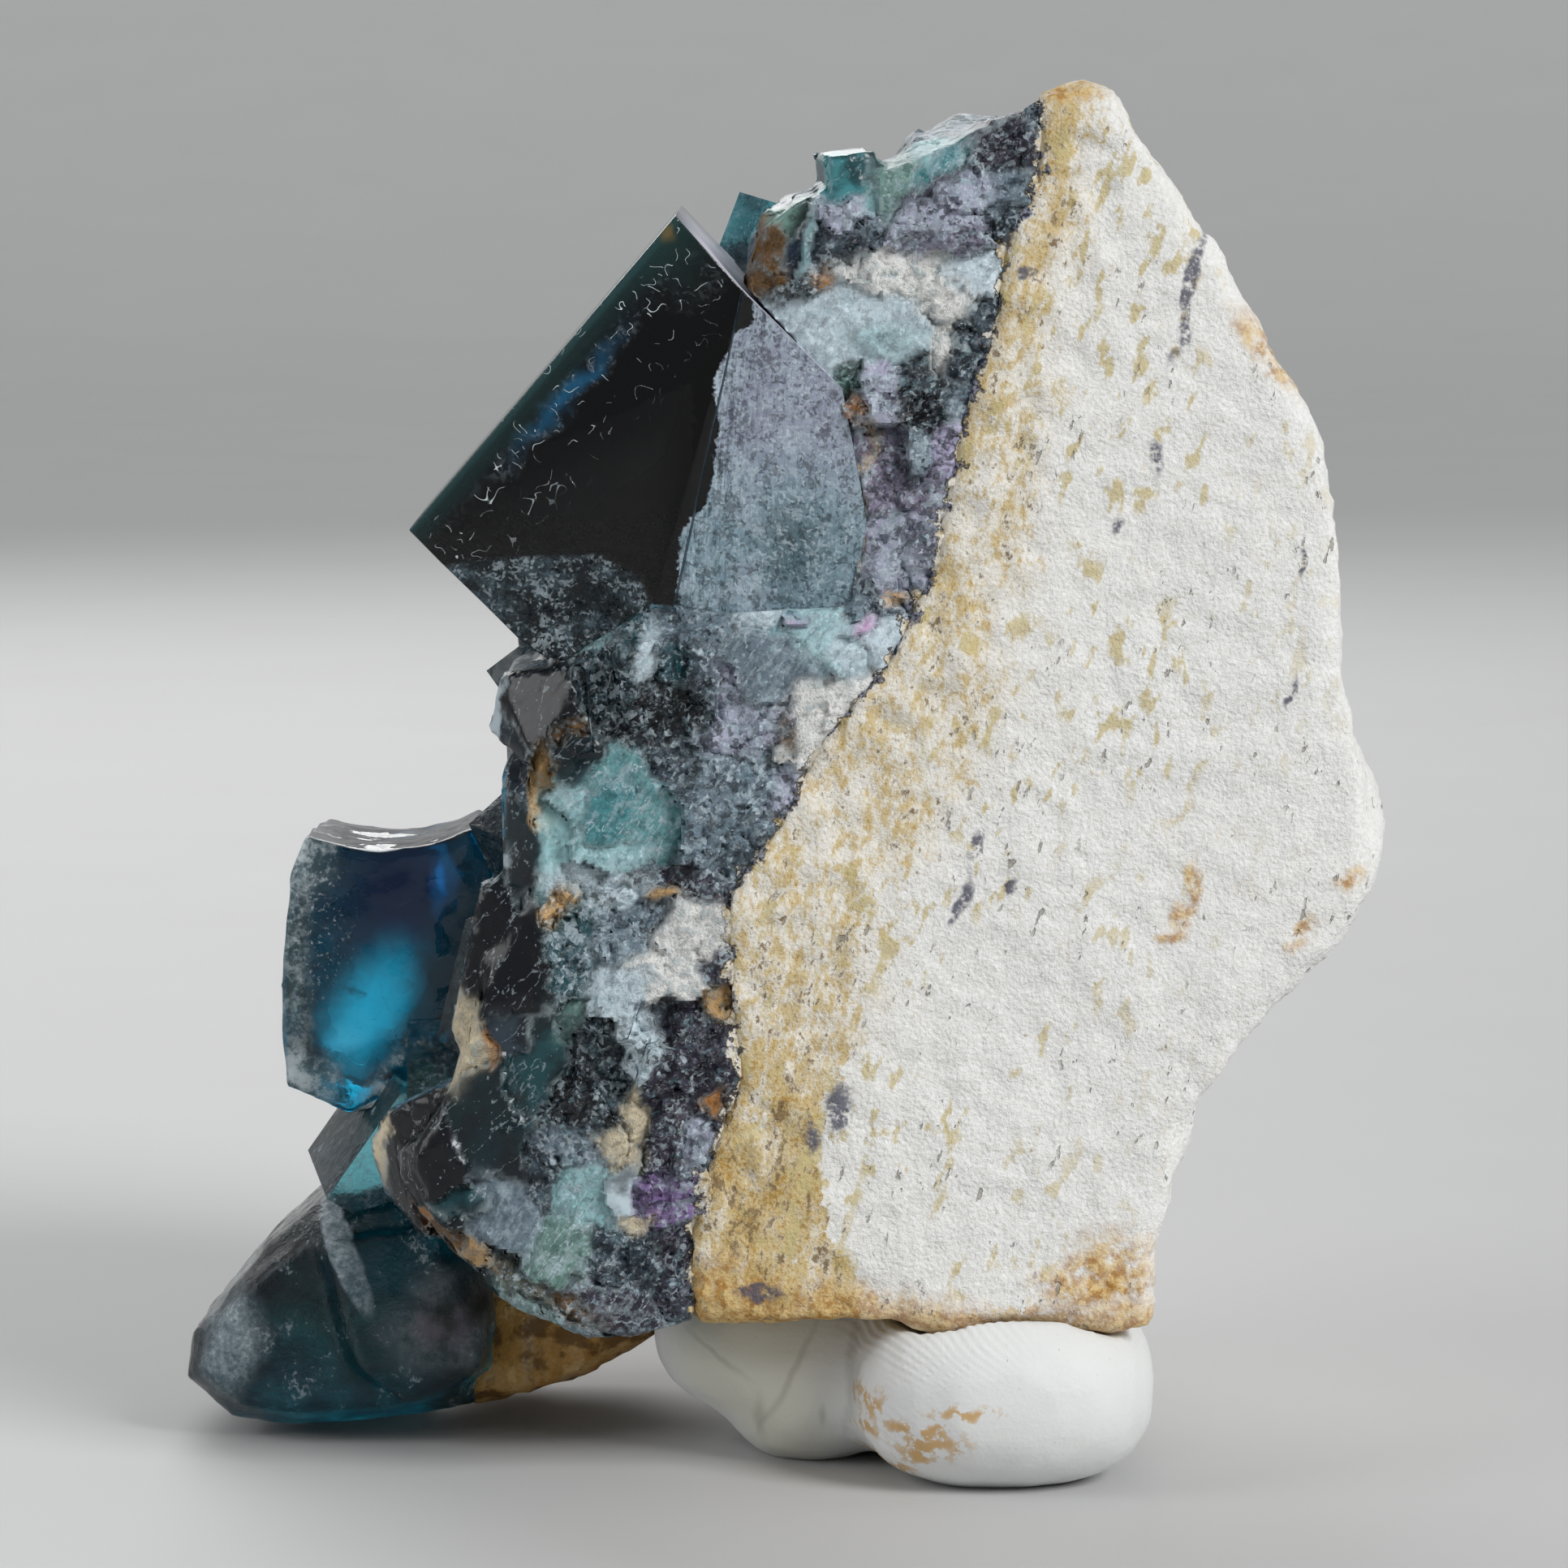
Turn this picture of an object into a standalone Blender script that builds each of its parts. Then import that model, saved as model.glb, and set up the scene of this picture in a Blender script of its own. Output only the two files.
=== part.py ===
"""Fluorite on matrix, standing on a pressed lump of putty.

World frame: metres, +Z up, origin at the bottom centre of the whole object.
The broken edge of the plate faces -Y, its crystal side faces -X.
"""
import math
import random

import bmesh
import bpy
from mathutils import Matrix, Vector, noise

MM = 0.001

# Driving dimensions, in millimetres
FRONT_Y = -26.0
BACK_Y = 34.0
GAP = 0.3
LARGE_CUBE_PROUD = 0.6
LARGE_CUBE_DEPTH = 27.0
BLUE_CRYSTAL_DEPTH = 15.0
HOLLOW_RADIUS = 15.0
HOLLOW_CENTRE = (-28.0, 56.5)
STONE_ROUGHNESS = 2.2
ROCK_CELL = 1.6
ROCK_TRIANGLES = 4200
PUTTY_PRESS = 0.8
PUTTY_CELL = 1.3
PUTTY_TRIANGLES = 1300
SEED = 11

# Cubes of the crystal side: rows of depths along Y, places along Z, edges and turns
SIDE_ROWS = (-9.0, -1.0, 7.5, 15.5, 23.0)
SIDE_COLUMNS = 7
SIDE_LOWEST = 23.0
SIDE_SPACING = 9.6
SIDE_STAGGER = 4.5
SIDE_EDGES = (7.5, 11.5)
SIDE_TURN = 38.0
SIDE_SUNK = 0.45

# Relief of the broken surface: size and height of its swells, ledges and pits
SWELLS = ((17.0, 1.3), (7.0, 0.8))
LEDGE_SIZE = 10.0
LEDGE_STEPS = 4.0
LEDGE_HEIGHT = 0.5
PIT_SIZE = 3.0
PIT_HEIGHT = 0.45
CALM_ON_CRUST = 0.35
CALM_ON_ROCK = 0.72

# Line where the crust meets the rock on the broken face, top to bottom, as (x, z)
CONTACT = [
    (17.2, 99.0), (16.8, 88.0), (14.6, 84.0), (14.0, 78.9), (12.4, 74.5), (10.9, 67.0),
    (9.6, 61.2), (6.2, 55.5), (2.4, 51.2), (-0.3, 45.7), (-4.0, 40.2), (-3.4, 32.6),
    (-3.2, 28.2), (-5.0, 22.4), (-6.3, 17.0), (-6.3, 6.0),
]
# Outline of the broken face: the rock's free side, then the crust's side, as (x, z)
ROCK_SIDE = [
    (20.0, 95.9), (22.8, 94.6), (25.2, 89.8), (29.0, 83.0), (32.4, 77.7), (36.4, 71.0),
    (37.4, 64.9), (37.8, 59.3), (38.9, 50.4), (40.3, 43.6), (39.2, 39.4), (33.8, 34.0),
    (29.6, 29.0), (26.8, 25.0), (25.8, 19.3), (24.9, 15.0), (25.2, 10.6), (17.0, 11.4),
    (9.0, 10.4), (0.0, 10.6), (-6.4, 11.0),
]
CRUST_SIDE = [
    (-12.0, 10.6), (-18.0, 12.6), (-23.0, 16.6), (-26.0, 21.5), (-23.2, 27.0), (-20.6, 32.0),
    (-17.6, 39.5), (-17.4, 49.1), (-16.0, 56.0), (-10.0, 66.0), (-6.0, 76.0), (-1.0, 85.6),
    (3.6, 87.6), (7.5, 89.8), (12.0, 92.2), (16.0, 94.4),
]


def scene_start():
    """Removes whatever the file holds."""
    for thing in list(bpy.data.objects):
        bpy.data.objects.remove(thing, do_unlink=True)


def finish(name, colour, roughness, transmission=0.0):
    """A plain material for one node."""
    material = bpy.data.materials.new(name)
    material.use_nodes = True
    shader = material.node_tree.nodes["Principled BSDF"]
    shader.inputs["Base Color"].default_value = (*colour, 1.0)
    shader.inputs["Roughness"].default_value = roughness
    shader.inputs["Metallic"].default_value = 0.0
    shader.inputs["Transmission Weight"].default_value = transmission
    material.diffuse_color = (*colour, 1.0)
    return material


def add_object(name, mesh):
    piece = bpy.data.objects.new(name, mesh)
    bpy.context.scene.collection.objects.link(piece)
    return piece


def object_from(name, vertices, faces):
    """A closed object from points in millimetres, with its faces turned outward."""
    mesh = bpy.data.meshes.new(name)
    mesh.from_pydata([Vector(v) * MM for v in vertices], [], faces)
    shape = bmesh.new()
    shape.from_mesh(mesh)
    bmesh.ops.recalc_face_normals(shape, faces=shape.faces)
    shape.to_mesh(mesh)
    shape.free()
    return add_object(name, mesh)


def settle(piece):
    """Turns an object's modifiers into its mesh."""
    graph = bpy.context.evaluated_depsgraph_get()
    mesh = bpy.data.meshes.new_from_object(piece.evaluated_get(graph))
    mesh.name = piece.name
    piece.modifiers.clear()
    piece.data = mesh
    return piece


def combine(piece, other, operation):
    """One exact Boolean, after which the other object is gone."""
    step = piece.modifiers.new(operation.title(), "BOOLEAN")
    step.operation = operation
    step.solver = "EXACT"
    step.object = other
    settle(piece)
    bpy.data.objects.remove(other, do_unlink=True)
    return piece


def join(piece, others):
    for other in others:
        combine(piece, other, "UNION")
    return piece


def swollen(piece, gap):
    """A copy whose faces stand off the piece by the gap; sharp corners move at most twice it."""
    copy = add_object(piece.name + "_swollen", piece.data.copy())
    shape = bmesh.new()
    shape.from_mesh(copy.data)
    bmesh.ops.triangulate(shape, faces=shape.faces)
    shape.normal_update()
    moves = [v.normal * min(v.calc_shell_factor(), 2.0) * gap * MM for v in shape.verts]
    for vert, move in zip(shape.verts, moves):
        vert.co += move
    shape.to_mesh(copy.data)
    shape.free()
    return copy


def cut_clear(piece, neighbour):
    """Cuts a piece where its neighbour is, with the gap between them."""
    return combine(piece, swollen(neighbour, GAP), "DIFFERENCE")


def islands(shape):
    """The connected groups of faces in a bmesh."""
    left = set(shape.faces)
    groups = []
    while left:
        stack = [left.pop()]
        group = set(stack)
        while stack:
            for edge in stack.pop().edges:
                for face in edge.link_faces:
                    if face in left:
                        left.remove(face)
                        group.add(face)
                        stack.append(face)
        groups.append(group)
    return groups


def keep_main_body(piece):
    """Drops loose flakes and closed pockets, so one solid is left."""
    shape = bmesh.new()
    shape.from_mesh(piece.data)
    groups = sorted(islands(shape), key=len)
    for group in groups[:-1]:
        vertices = {vert for face in group for vert in face.verts}
        bmesh.ops.delete(shape, geom=list(vertices), context="VERTS")
    shape.to_mesh(piece.data)
    shape.free()
    return piece


def prism(name, outline, y_low, y_high):
    """A closed prism from an outline in x and z."""
    count = len(outline)
    vertices = [(x, y_low, z) for x, z in outline] + [(x, y_high, z) for x, z in outline]
    faces = [tuple(range(count)), tuple(range(count, 2 * count))]
    for i in range(count):
        j = (i + 1) % count
        faces.append((i, j, j + count, i + count))
    return object_from(name, vertices, faces)


def block(name, size, centre, turn):
    """A box of the given size, turned by angles in degrees about X, Y and Z."""
    angles = [math.radians(a) for a in turn]
    rotation = Matrix.Rotation(angles[2], 3, "Z") @ Matrix.Rotation(angles[1], 3, "Y")
    rotation = rotation @ Matrix.Rotation(angles[0], 3, "X")
    corners = []
    for sx in (-0.5, 0.5):
        for sy in (-0.5, 0.5):
            for sz in (-0.5, 0.5):
                corner = Vector((sx * size[0], sy * size[1], sz * size[2]))
                corners.append(rotation @ corner + Vector(centre))
    faces = [(0, 1, 3, 2), (4, 6, 7, 5), (0, 4, 5, 1), (2, 3, 7, 6), (0, 2, 6, 4), (1, 5, 7, 3)]
    return object_from(name, corners, faces)


def hull(name, points):
    """The convex solid round a set of points in millimetres."""
    mesh = bpy.data.meshes.new(name)
    shape = bmesh.new()
    for point in points:
        shape.verts.new(Vector(point) * MM)
    result = bmesh.ops.convex_hull(shape, input=shape.verts)
    loose = set(result["geom_interior"]) | set(result["geom_unused"])
    loose = [item for item in loose if isinstance(item, bmesh.types.BMVert)]
    bmesh.ops.delete(shape, geom=loose, context="VERTS")
    bmesh.ops.dissolve_limit(shape, angle_limit=0.01, verts=shape.verts, edges=shape.edges)
    bmesh.ops.recalc_face_normals(shape, faces=shape.faces)
    shape.to_mesh(mesh)
    shape.free()
    return add_object(name, mesh)


def loft(name, outline, stations, centre, rough=0.0):
    """A closed solid through one outline in x and z, scaled and moved at each station along Y.

    Behind the broken face its points are moved at random by up to the rough amount.
    """
    draw = random.Random(SEED)
    count = len(outline)
    vertices = []
    for y, scale, shift_x, shift_z in stations:
        spread = rough if y > FRONT_Y + 3.0 else 0.0
        for x, z in outline:
            wide = centre[0] + (x - centre[0]) * scale + shift_x + draw.uniform(-spread, spread)
            tall = centre[1] + (z - centre[1]) * scale + shift_z + draw.uniform(-spread, spread)
            vertices.append((wide, y, tall))
    last = (len(stations) - 1) * count
    faces = [tuple(range(count)), tuple(range(last, last + count))]
    for s in range(len(stations) - 1):
        for i in range(count):
            j = (i + 1) % count
            low = s * count
            high = low + count
            faces.append((low + i, low + j, high + j, high + i))
    return object_from(name, vertices, faces)


def gather(piece, others):
    """Puts several meshes into one object, before they are melted together."""
    shape = bmesh.new()
    shape.from_mesh(piece.data)
    for other in others:
        shape.from_mesh(other.data)
        bpy.data.objects.remove(other, do_unlink=True)
    shape.to_mesh(piece.data)
    shape.free()
    return piece


def melt(piece, cell):
    """One skin of even small faces round everything in the object."""
    step = piece.modifiers.new("Skin", "REMESH")
    step.mode = "VOXEL"
    step.voxel_size = cell * MM
    step.adaptivity = 0.0
    return settle(piece)


def reduce(piece, triangles):
    """Merges small faces into broken facets, down to a number of triangles."""
    have = sum(len(face.vertices) - 2 for face in piece.data.polygons)
    step = piece.modifiers.new("Facets", "DECIMATE")
    step.ratio = min(1.0, triangles / have)
    step.use_collapse_triangulate = True
    return settle(piece)


def push(piece, amount):
    """Moves each point along its normal by a function of its place in millimetres."""
    shape = bmesh.new()
    shape.from_mesh(piece.data)
    shape.normal_update()
    moves = [v.normal * amount(v.co / MM, v.normal) * MM for v in shape.verts]
    for vert, move in zip(shape.verts, moves):
        vert.co += move
    shape.to_mesh(piece.data)
    shape.free()
    return piece


def contact_x(z):
    """Where the crust ends on the broken face, at a height."""
    for (x_high, z_high), (x_low, z_low) in zip(CONTACT, CONTACT[1:]):
        if z_low <= z <= z_high:
            part = (z - z_low) / (z_high - z_low)
            return x_low + (x_high - x_low) * part
    return CONTACT[-1][0] if z < CONTACT[-1][1] else CONTACT[0][0]


def broken_relief(place, normal):
    """Height of the broken surface: long swells, ledges and small pits."""
    (long_size, long_height), (short_size, short_height) = SWELLS
    swell = noise.noise(place / long_size) * long_height
    swell += noise.noise(place / short_size + Vector((9, 2, 5))) * short_height
    ledge_field = noise.noise(place / LEDGE_SIZE + Vector((3, 7, 1))) * LEDGE_STEPS
    ledge = (ledge_field - round(ledge_field)) * LEDGE_HEIGHT
    pits = noise.noise(place / PIT_SIZE) * PIT_HEIGHT
    facing = max(0.0, -normal.y)
    on_crust = place.x < contact_x(place.z)
    calm = 1.0 - facing * (CALM_ON_CRUST if on_crust else CALM_ON_ROCK)
    return (swell + ledge + pits) * calm


def make_stone():
    """The whole broken plate before it is parted into rock and crust."""
    stations = [
        (FRONT_Y, 0.99, 0.0, 0.0), (FRONT_Y + 1.6, 1.0, 0.0, 0.0), (-12.0, 0.975, 0.0, 0.0),
        (2.0, 0.95, 0.5, -0.6), (15.0, 0.90, 0.5, -1.5), (26.0, 0.77, 0.0, -2.5),
        (BACK_Y, 0.52, 0.0, -3.0),
    ]
    stone = loft("stone", ROCK_SIDE + CRUST_SIDE, stations, (6.0, 50.0), STONE_ROUGHNESS)
    foot = hull("foot", [
        (-25.5, -5.0, 3.0), (-22.5, -6.5, 2.2), (-15.0, -6.0, 3.4), (-10.0, -6.0, 6.0),
        (-24.0, 14.0, 2.0), (-12.0, 16.0, 4.0), (-8.0, 18.0, 16.0), (-24.0, 17.0, 16.0),
        (-25.0, -4.0, 12.0), (-6.0, -8.0, 13.5), (6.0, 4.0, 14.0), (4.0, 16.0, 18.0),
    ])
    gather(stone, [foot])
    melt(stone, ROCK_CELL)
    push(stone, broken_relief)
    return reduce(stone, ROCK_TRIANGLES)


def crust_region():
    """The space on the crystal side of the contact line, above the rock's foot."""
    outline = CONTACT + [(-60.0, 6.0), (-60.0, 96.0)]
    region = loft("crust_region", outline, [(-45.0, 1.0, 0.0, 0.0), (0.0, 1.0, 0.0, 0.0),
                                            (50.0, 1.0, -6.0, 0.0)], (6.0, 50.0))
    foot_space = block("foot_space", (70.0, 60.0, 30.0), (-30.0, 23.2, 0.6), (4.0, 3.0, 0.0))
    return combine(region, foot_space, "DIFFERENCE")


# Outline of the large cube on the broken face, clockwise from its top corner, as (x, z)
LARGE_CUBE = [
    (-7.2, 86.1), (3.4, 74.3), (5.0, 66.0), (4.2, 60.4), (-4.0, 59.8), (-8.6, 60.6),
    (-14.4, 56.9), (-17.6, 57.6), (-25.0, 65.2),
]


def make_large_cube():
    """A near-square front face, cleaved down its right side and chipped at the lower left."""
    cube = prism("large_cube_crystal", LARGE_CUBE, FRONT_Y - LARGE_CUBE_PROUD,
                 FRONT_Y + LARGE_CUBE_DEPTH)
    cleavage = block("cleavage", (13.0, 3.0, 34.0), (0.9, FRONT_Y - 0.7, 66.4), (2.0, 4.5, -3.0))
    combine(cube, cleavage, "DIFFERENCE")
    chip = hull("chip", [
        (-27.0, FRONT_Y - 2.0, 66.0), (-17.6, FRONT_Y - 2.0, 66.6), (-12.0, FRONT_Y - 2.0, 67.3),
        (-7.6, FRONT_Y - 2.0, 64.6), (-8.0, FRONT_Y - 2.0, 58.0), (-16.0, FRONT_Y - 2.0, 52.0),
        (-26.0, FRONT_Y + 0.2, 60.0), (-19.0, FRONT_Y + 1.2, 57.0), (-12.0, FRONT_Y + 1.6, 60.0),
        (-10.0, FRONT_Y + 0.9, 57.5),
    ])
    return combine(cube, chip, "DIFFERENCE")


def make_blue_crystal():
    """A stout crystal with horned upper corners and a hollow between them."""
    front = [(-33.0, 43.4), (-22.6, 44.2), (-20.0, 40.5), (-20.0, 33.5), (-22.0, 29.0),
             (-26.6, 24.8), (-30.3, 23.0), (-34.9, 24.8), (-35.1, 32.0), (-34.5, 39.5)]
    points = [(x, -7.0, z) for x, z in front]
    points += [(x * 0.96 - 0.6, -7.0 + BLUE_CRYSTAL_DEPTH, z * 0.97 + 1.0) for x, z in front]
    crystal = hull("blue_crystal", points)
    hollow_x, hollow_z = HOLLOW_CENTRE
    bpy.ops.mesh.primitive_cylinder_add(vertices=40, radius=HOLLOW_RADIUS * MM, depth=40.0 * MM,
                                        location=(hollow_x * MM, 0.0, hollow_z * MM),
                                        rotation=(math.radians(90.0), 0.0, 0.0))
    return combine(crystal, bpy.context.active_object, "DIFFERENCE")


def make_lower_crystals():
    """Overlapping cubes with worn edges at the foot of the crystal side."""
    outline = [(-42.1, 4.2), (-41.4, 7.4), (-36.2, 13.6), (-31.8, 17.3), (-26.5, 18.4),
               (-21.5, 14.5), (-19.5, 8.0), (-21.5, 2.2), (-28.0, 1.1), (-34.3, 0.7), (-38.8, 1.3)]
    points = [(x, -6.0, z) for x, z in outline]
    points += [(-31.0 + (x + 31.0) * 0.86, -9.5, 8.6 + (z - 8.6) * 0.8) for x, z in outline]
    points += [(-31.0 + (x + 31.0) * 0.93, 9.0, 9.0 + (z - 9.0) * 0.95) for x, z in outline]
    group = hull("lower_crystals", points)
    second = hull("second", [
        (-33.8, -8.0, 14.2), (-31.6, -11.6, 14.4), (-29.4, -12.4, 6.2), (-31.5, -7.0, 5.0),
        (-24.0, -11.0, 15.6), (-21.0, -12.0, 6.0), (-26.0, -11.0, 3.0), (-20.0, -4.0, 4.0),
        (-20.0, -4.0, 14.0), (-28.0, 0.0, 17.0),
    ])
    third = block("third", (10.0, 10.0, 9.0), (-29.5, 9.5, 9.0), (20.0, 35.0, 25.0))
    return join(group, [second, third])


def crust_crystals():
    """The single crystals of the crust that show on the broken edge, as flat-faced solids."""
    middle_upper = hull("middle_upper", [
        (-19.9, -23.0, 51.4), (-19.0, -24.0, 55.4), (-13.4, -27.6, 56.3), (-12.8, -27.8, 50.6),
        (-16.6, -27.0, 49.0), (-18.0, -8.0, 51.0), (-17.5, -8.0, 56.0), (-11.0, -8.0, 56.0),
        (-11.0, -8.0, 50.0),
    ])
    middle_side = hull("middle_side", [
        (-19.0, -25.0, 49.0), (-18.8, -25.4, 39.2), (-16.6, -27.0, 46.0), (-16.0, -27.2, 39.2),
        (-18.0, -8.0, 48.0), (-18.0, -8.0, 39.0), (-12.0, -8.0, 46.0), (-12.0, -25.0, 40.0),
    ])
    black_wedge = hull("black_wedge", [
        (-22.5, -24.0, 31.0), (-20.3, -25.4, 41.8), (-15.4, -27.2, 38.6), (-15.0, -27.4, 33.6),
        (-22.0, -22.0, 29.6), (-20.0, -6.0, 40.0), (-21.5, -6.0, 31.0), (-14.0, -8.0, 34.0),
    ])
    rounded = hull("rounded", [
        (-28.5, -18.0, 22.6), (-27.0, -21.0, 25.2), (-23.6, -23.5, 27.2), (-20.2, -24.6, 26.4),
        (-17.5, -25.6, 21.5), (-20.0, -24.6, 16.6), (-24.8, -21.6, 16.8), (-27.4, -18.6, 19.6),
        (-26.0, -8.0, 24.0), (-20.0, -8.0, 27.0), (-25.0, -8.0, 18.0), (-17.0, -8.0, 17.0),
    ])
    behind = block("behind", (9.0, 9.0, 9.0), (-26.4, -4.5, 19.8), (15.0, 32.0, 20.0))
    ledge_one = block("ledge_one", (7.6, 6.0, 7.6), (-7.6, -23.6, 55.2), (14.0, -12.0, 9.0))
    ledge_two = block("ledge_two", (8.4, 6.0, 8.6), (-12.6, -23.2, 35.6), (-14.0, 20.0, -12.0))
    ledge_three = block("ledge_three", (7.0, 6.0, 9.0), (-13.2, -23.4, 22.8), (12.0, -28.0, -12.0))
    ledge_four = block("ledge_four", (6.4, 6.0, 6.4), (-7.4, -23.6, 27.6), (16.0, 14.0, 14.0))
    top_cube = block("top_cube", (3.5, 5.0, 5.4), (4.4, -22.6, 87.6), (4.0, -8.0, 10.0))
    top_left = block("top_left", (4.4, 6.0, 4.2), (0.8, -21.0, 84.2), (8.0, 14.0, -12.0))
    top_back = block("top_back", (6.0, 7.0, 6.0), (10.5, -12.0, 87.2), (12.0, 30.0, 20.0))
    return [middle_upper, middle_side, black_wedge, rounded, behind, ledge_one, ledge_two,
            ledge_three, ledge_four, top_cube, top_left, top_back]


def crust_edge(z):
    """How far the crystal side reaches toward -X at a height."""
    for (x_low, z_low), (x_high, z_high) in zip(CRUST_SIDE, CRUST_SIDE[1:]):
        if z_low <= z <= z_high:
            part = (z - z_low) / (z_high - z_low)
            return x_low + (x_high - x_low) * part
    return CRUST_SIDE[0][0]


def side_cubes():
    """Intergrown cubes over the crystal side behind the broken edge."""
    draw = random.Random(SEED)
    cubes = []
    for row, y in enumerate(SIDE_ROWS):
        shrink = 1.0 - max(0.0, y - 2.0) / 115.0
        stagger = (row % 2) * SIDE_STAGGER
        for column in range(SIDE_COLUMNS):
            z = SIDE_LOWEST + column * SIDE_SPACING + stagger + draw.uniform(-1.2, 1.2)
            edge = draw.uniform(*SIDE_EDGES)
            turn = [draw.uniform(-SIDE_TURN, SIDE_TURN) for _ in range(3)]
            place_y = y + draw.uniform(-1.5, 1.5)
            if z > (84.0 if y > 0.0 else 79.0) or (y > 20.0 and z > 76.0):
                continue
            x = 6.0 + (crust_edge(z) - 6.0) * shrink + edge * SIDE_SUNK
            centre = (x, place_y, 50.0 + (z - 50.0) * shrink)
            cubes.append(block("side_cube", (edge, edge, edge), centre, turn))
    return cubes


def lobe(centre, size):
    """A pressed lump: between a ball and a rounded box."""
    bpy.ops.mesh.primitive_uv_sphere_add(segments=40, ring_count=24, radius=1.0)
    lump = bpy.context.active_object
    for vert in lump.data.vertices:
        pressed = [math.copysign(abs(c) ** PUTTY_PRESS, c) for c in vert.co]
        vert.co = [(middle + c * half) * MM for middle, c, half in zip(centre, pressed, size)]
    return lump


def make_putty():
    """Two pressed lobes, flat underneath, with a furrow between them."""
    lobes = [
        lobe((14.9, -17.8, 6.2), (10.6, 12.6, 7.0)), lobe((12.5, -2.0, 6.4), (9.6, 15.0, 6.8)),
        lobe((-0.6, -8.0, 8.2), (8.6, 11.0, 5.6)), lobe((2.0, -7.4, 5.0), (6.2, 12.0, 6.0)),
    ]
    putty = lobes[0]
    putty.name = "putty_rest"
    gather(putty, lobes[1:])
    melt(putty, PUTTY_CELL)
    soften = putty.modifiers.new("Soften", "SMOOTH")
    soften.factor = 0.5
    soften.iterations = 4
    settle(putty)
    reduce(putty, PUTTY_TRIANGLES)
    under = block("under", (90.0, 90.0, 20.0), (10.0, 0.0, -10.0), (0.0, 0.0, 0.0))
    return combine(putty, under, "DIFFERENCE")


def assign(piece, material):
    piece.data.materials.clear()
    piece.data.materials.append(material)


def stand_on_origin(pieces):
    """Moves every mesh so that the bottom centre of the whole is at the origin."""
    corners = [vert.co for piece in pieces for vert in piece.data.vertices]
    low = Vector([min(corner[axis] for corner in corners) for axis in range(3)])
    high = Vector([max(corner[axis] for corner in corners) for axis in range(3)])
    shift = Vector((-(low.x + high.x) / 2.0, -(low.y + high.y) / 2.0, -low.z))
    for piece in pieces:
        piece.data.transform(Matrix.Translation(shift))
    print("moved by", [round(value / MM, 3) for value in shift])
    return shift


def build():
    scene_start()
    stone = make_stone()
    region = crust_region()
    crust = add_object("fluorite_crust", stone.data.copy())
    combine(crust, add_object("region_copy", region.data.copy()), "INTERSECT")
    rock = cut_clear(stone, region)
    rock.name = "matrix_rock"
    bpy.data.objects.remove(region, do_unlink=True)

    large_cube = make_large_cube()
    blue = make_blue_crystal()
    lower = make_lower_crystals()
    crystals = crust_crystals() + side_cubes()
    crystals = join(crystals[0], crystals[1:])
    cut_clear(crystals, rock)
    join(crust, [crystals])
    cut_clear(lower, rock)
    cube_space = prism("cube_space", LARGE_CUBE, FRONT_Y - 20.0, FRONT_Y + LARGE_CUBE_DEPTH)
    cut_clear(crust, cube_space)
    bpy.data.objects.remove(cube_space, do_unlink=True)
    cut_clear(crust, blue)
    cut_clear(crust, lower)
    putty = make_putty()
    cut_clear(putty, rock)
    cut_clear(putty, crust)

    pieces = (rock, crust, large_cube, blue, lower, putty)
    for piece in pieces:
        keep_main_body(piece)
    shift = stand_on_origin(pieces)

    assign(rock, finish("pale_rock", (0.78, 0.76, 0.70), 0.9))
    assign(crust, finish("sugary_fluorite", (0.16, 0.24, 0.26), 0.5))
    assign(large_cube, finish("deep_teal_fluorite", (0.02, 0.10, 0.13), 0.12, transmission=1.0))
    assign(blue, finish("blue_fluorite", (0.02, 0.30, 0.48), 0.15, transmission=1.0))
    assign(lower, finish("teal_fluorite", (0.05, 0.18, 0.20), 0.3, transmission=1.0))
    assign(putty, finish("white_putty", (0.86, 0.86, 0.84), 0.75))
    return shift


SHIFT = build()
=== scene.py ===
# %% [markdown]
# # Fluorite on matrix, standing on putty
# A specimen like this is a broken plate: pale, grainy host rock on one side, a crust of dark
# teal fluorite on the other, and single glassy cubes that stand out of the crust. We look at
# the broken edge. The solids come from a fixed frame, and this file gives every piece its
# real surface: grains and pits in the rock, cleaved and frosted faces on the crystals.

# %% The fixed frame
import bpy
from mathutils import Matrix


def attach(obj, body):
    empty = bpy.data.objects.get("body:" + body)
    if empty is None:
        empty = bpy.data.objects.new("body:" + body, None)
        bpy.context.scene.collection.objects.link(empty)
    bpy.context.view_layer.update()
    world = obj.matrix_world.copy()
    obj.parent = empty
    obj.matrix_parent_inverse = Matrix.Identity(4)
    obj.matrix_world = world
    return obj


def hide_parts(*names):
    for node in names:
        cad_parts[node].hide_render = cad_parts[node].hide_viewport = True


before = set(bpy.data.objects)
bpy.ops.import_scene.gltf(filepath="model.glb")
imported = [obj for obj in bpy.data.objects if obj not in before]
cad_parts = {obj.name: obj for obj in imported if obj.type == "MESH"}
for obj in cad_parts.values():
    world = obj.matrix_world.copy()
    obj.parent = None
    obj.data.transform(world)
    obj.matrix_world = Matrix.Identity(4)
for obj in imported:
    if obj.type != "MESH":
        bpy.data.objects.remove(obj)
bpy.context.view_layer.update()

import math
import random

import bpy
import numpy as np
from mathutils import Vector, noise

MM = 0.001
noise.seed_set(7)                         # or the vector noise would differ from run to run
print("nodes", sorted(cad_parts))

# %% [markdown]
# ## Places on the broken face
# The face that we look at is nearly flat and square to the camera, so a place on it needs two
# numbers only. They are taken from the photograph, in its own pixels, and one helper turns
# them into millimetres of the model. The solids were sized at 0.055 mm a pixel. The broken
# face lies a little nearer to the camera, where one pixel stands for 0.0543 mm.

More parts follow.
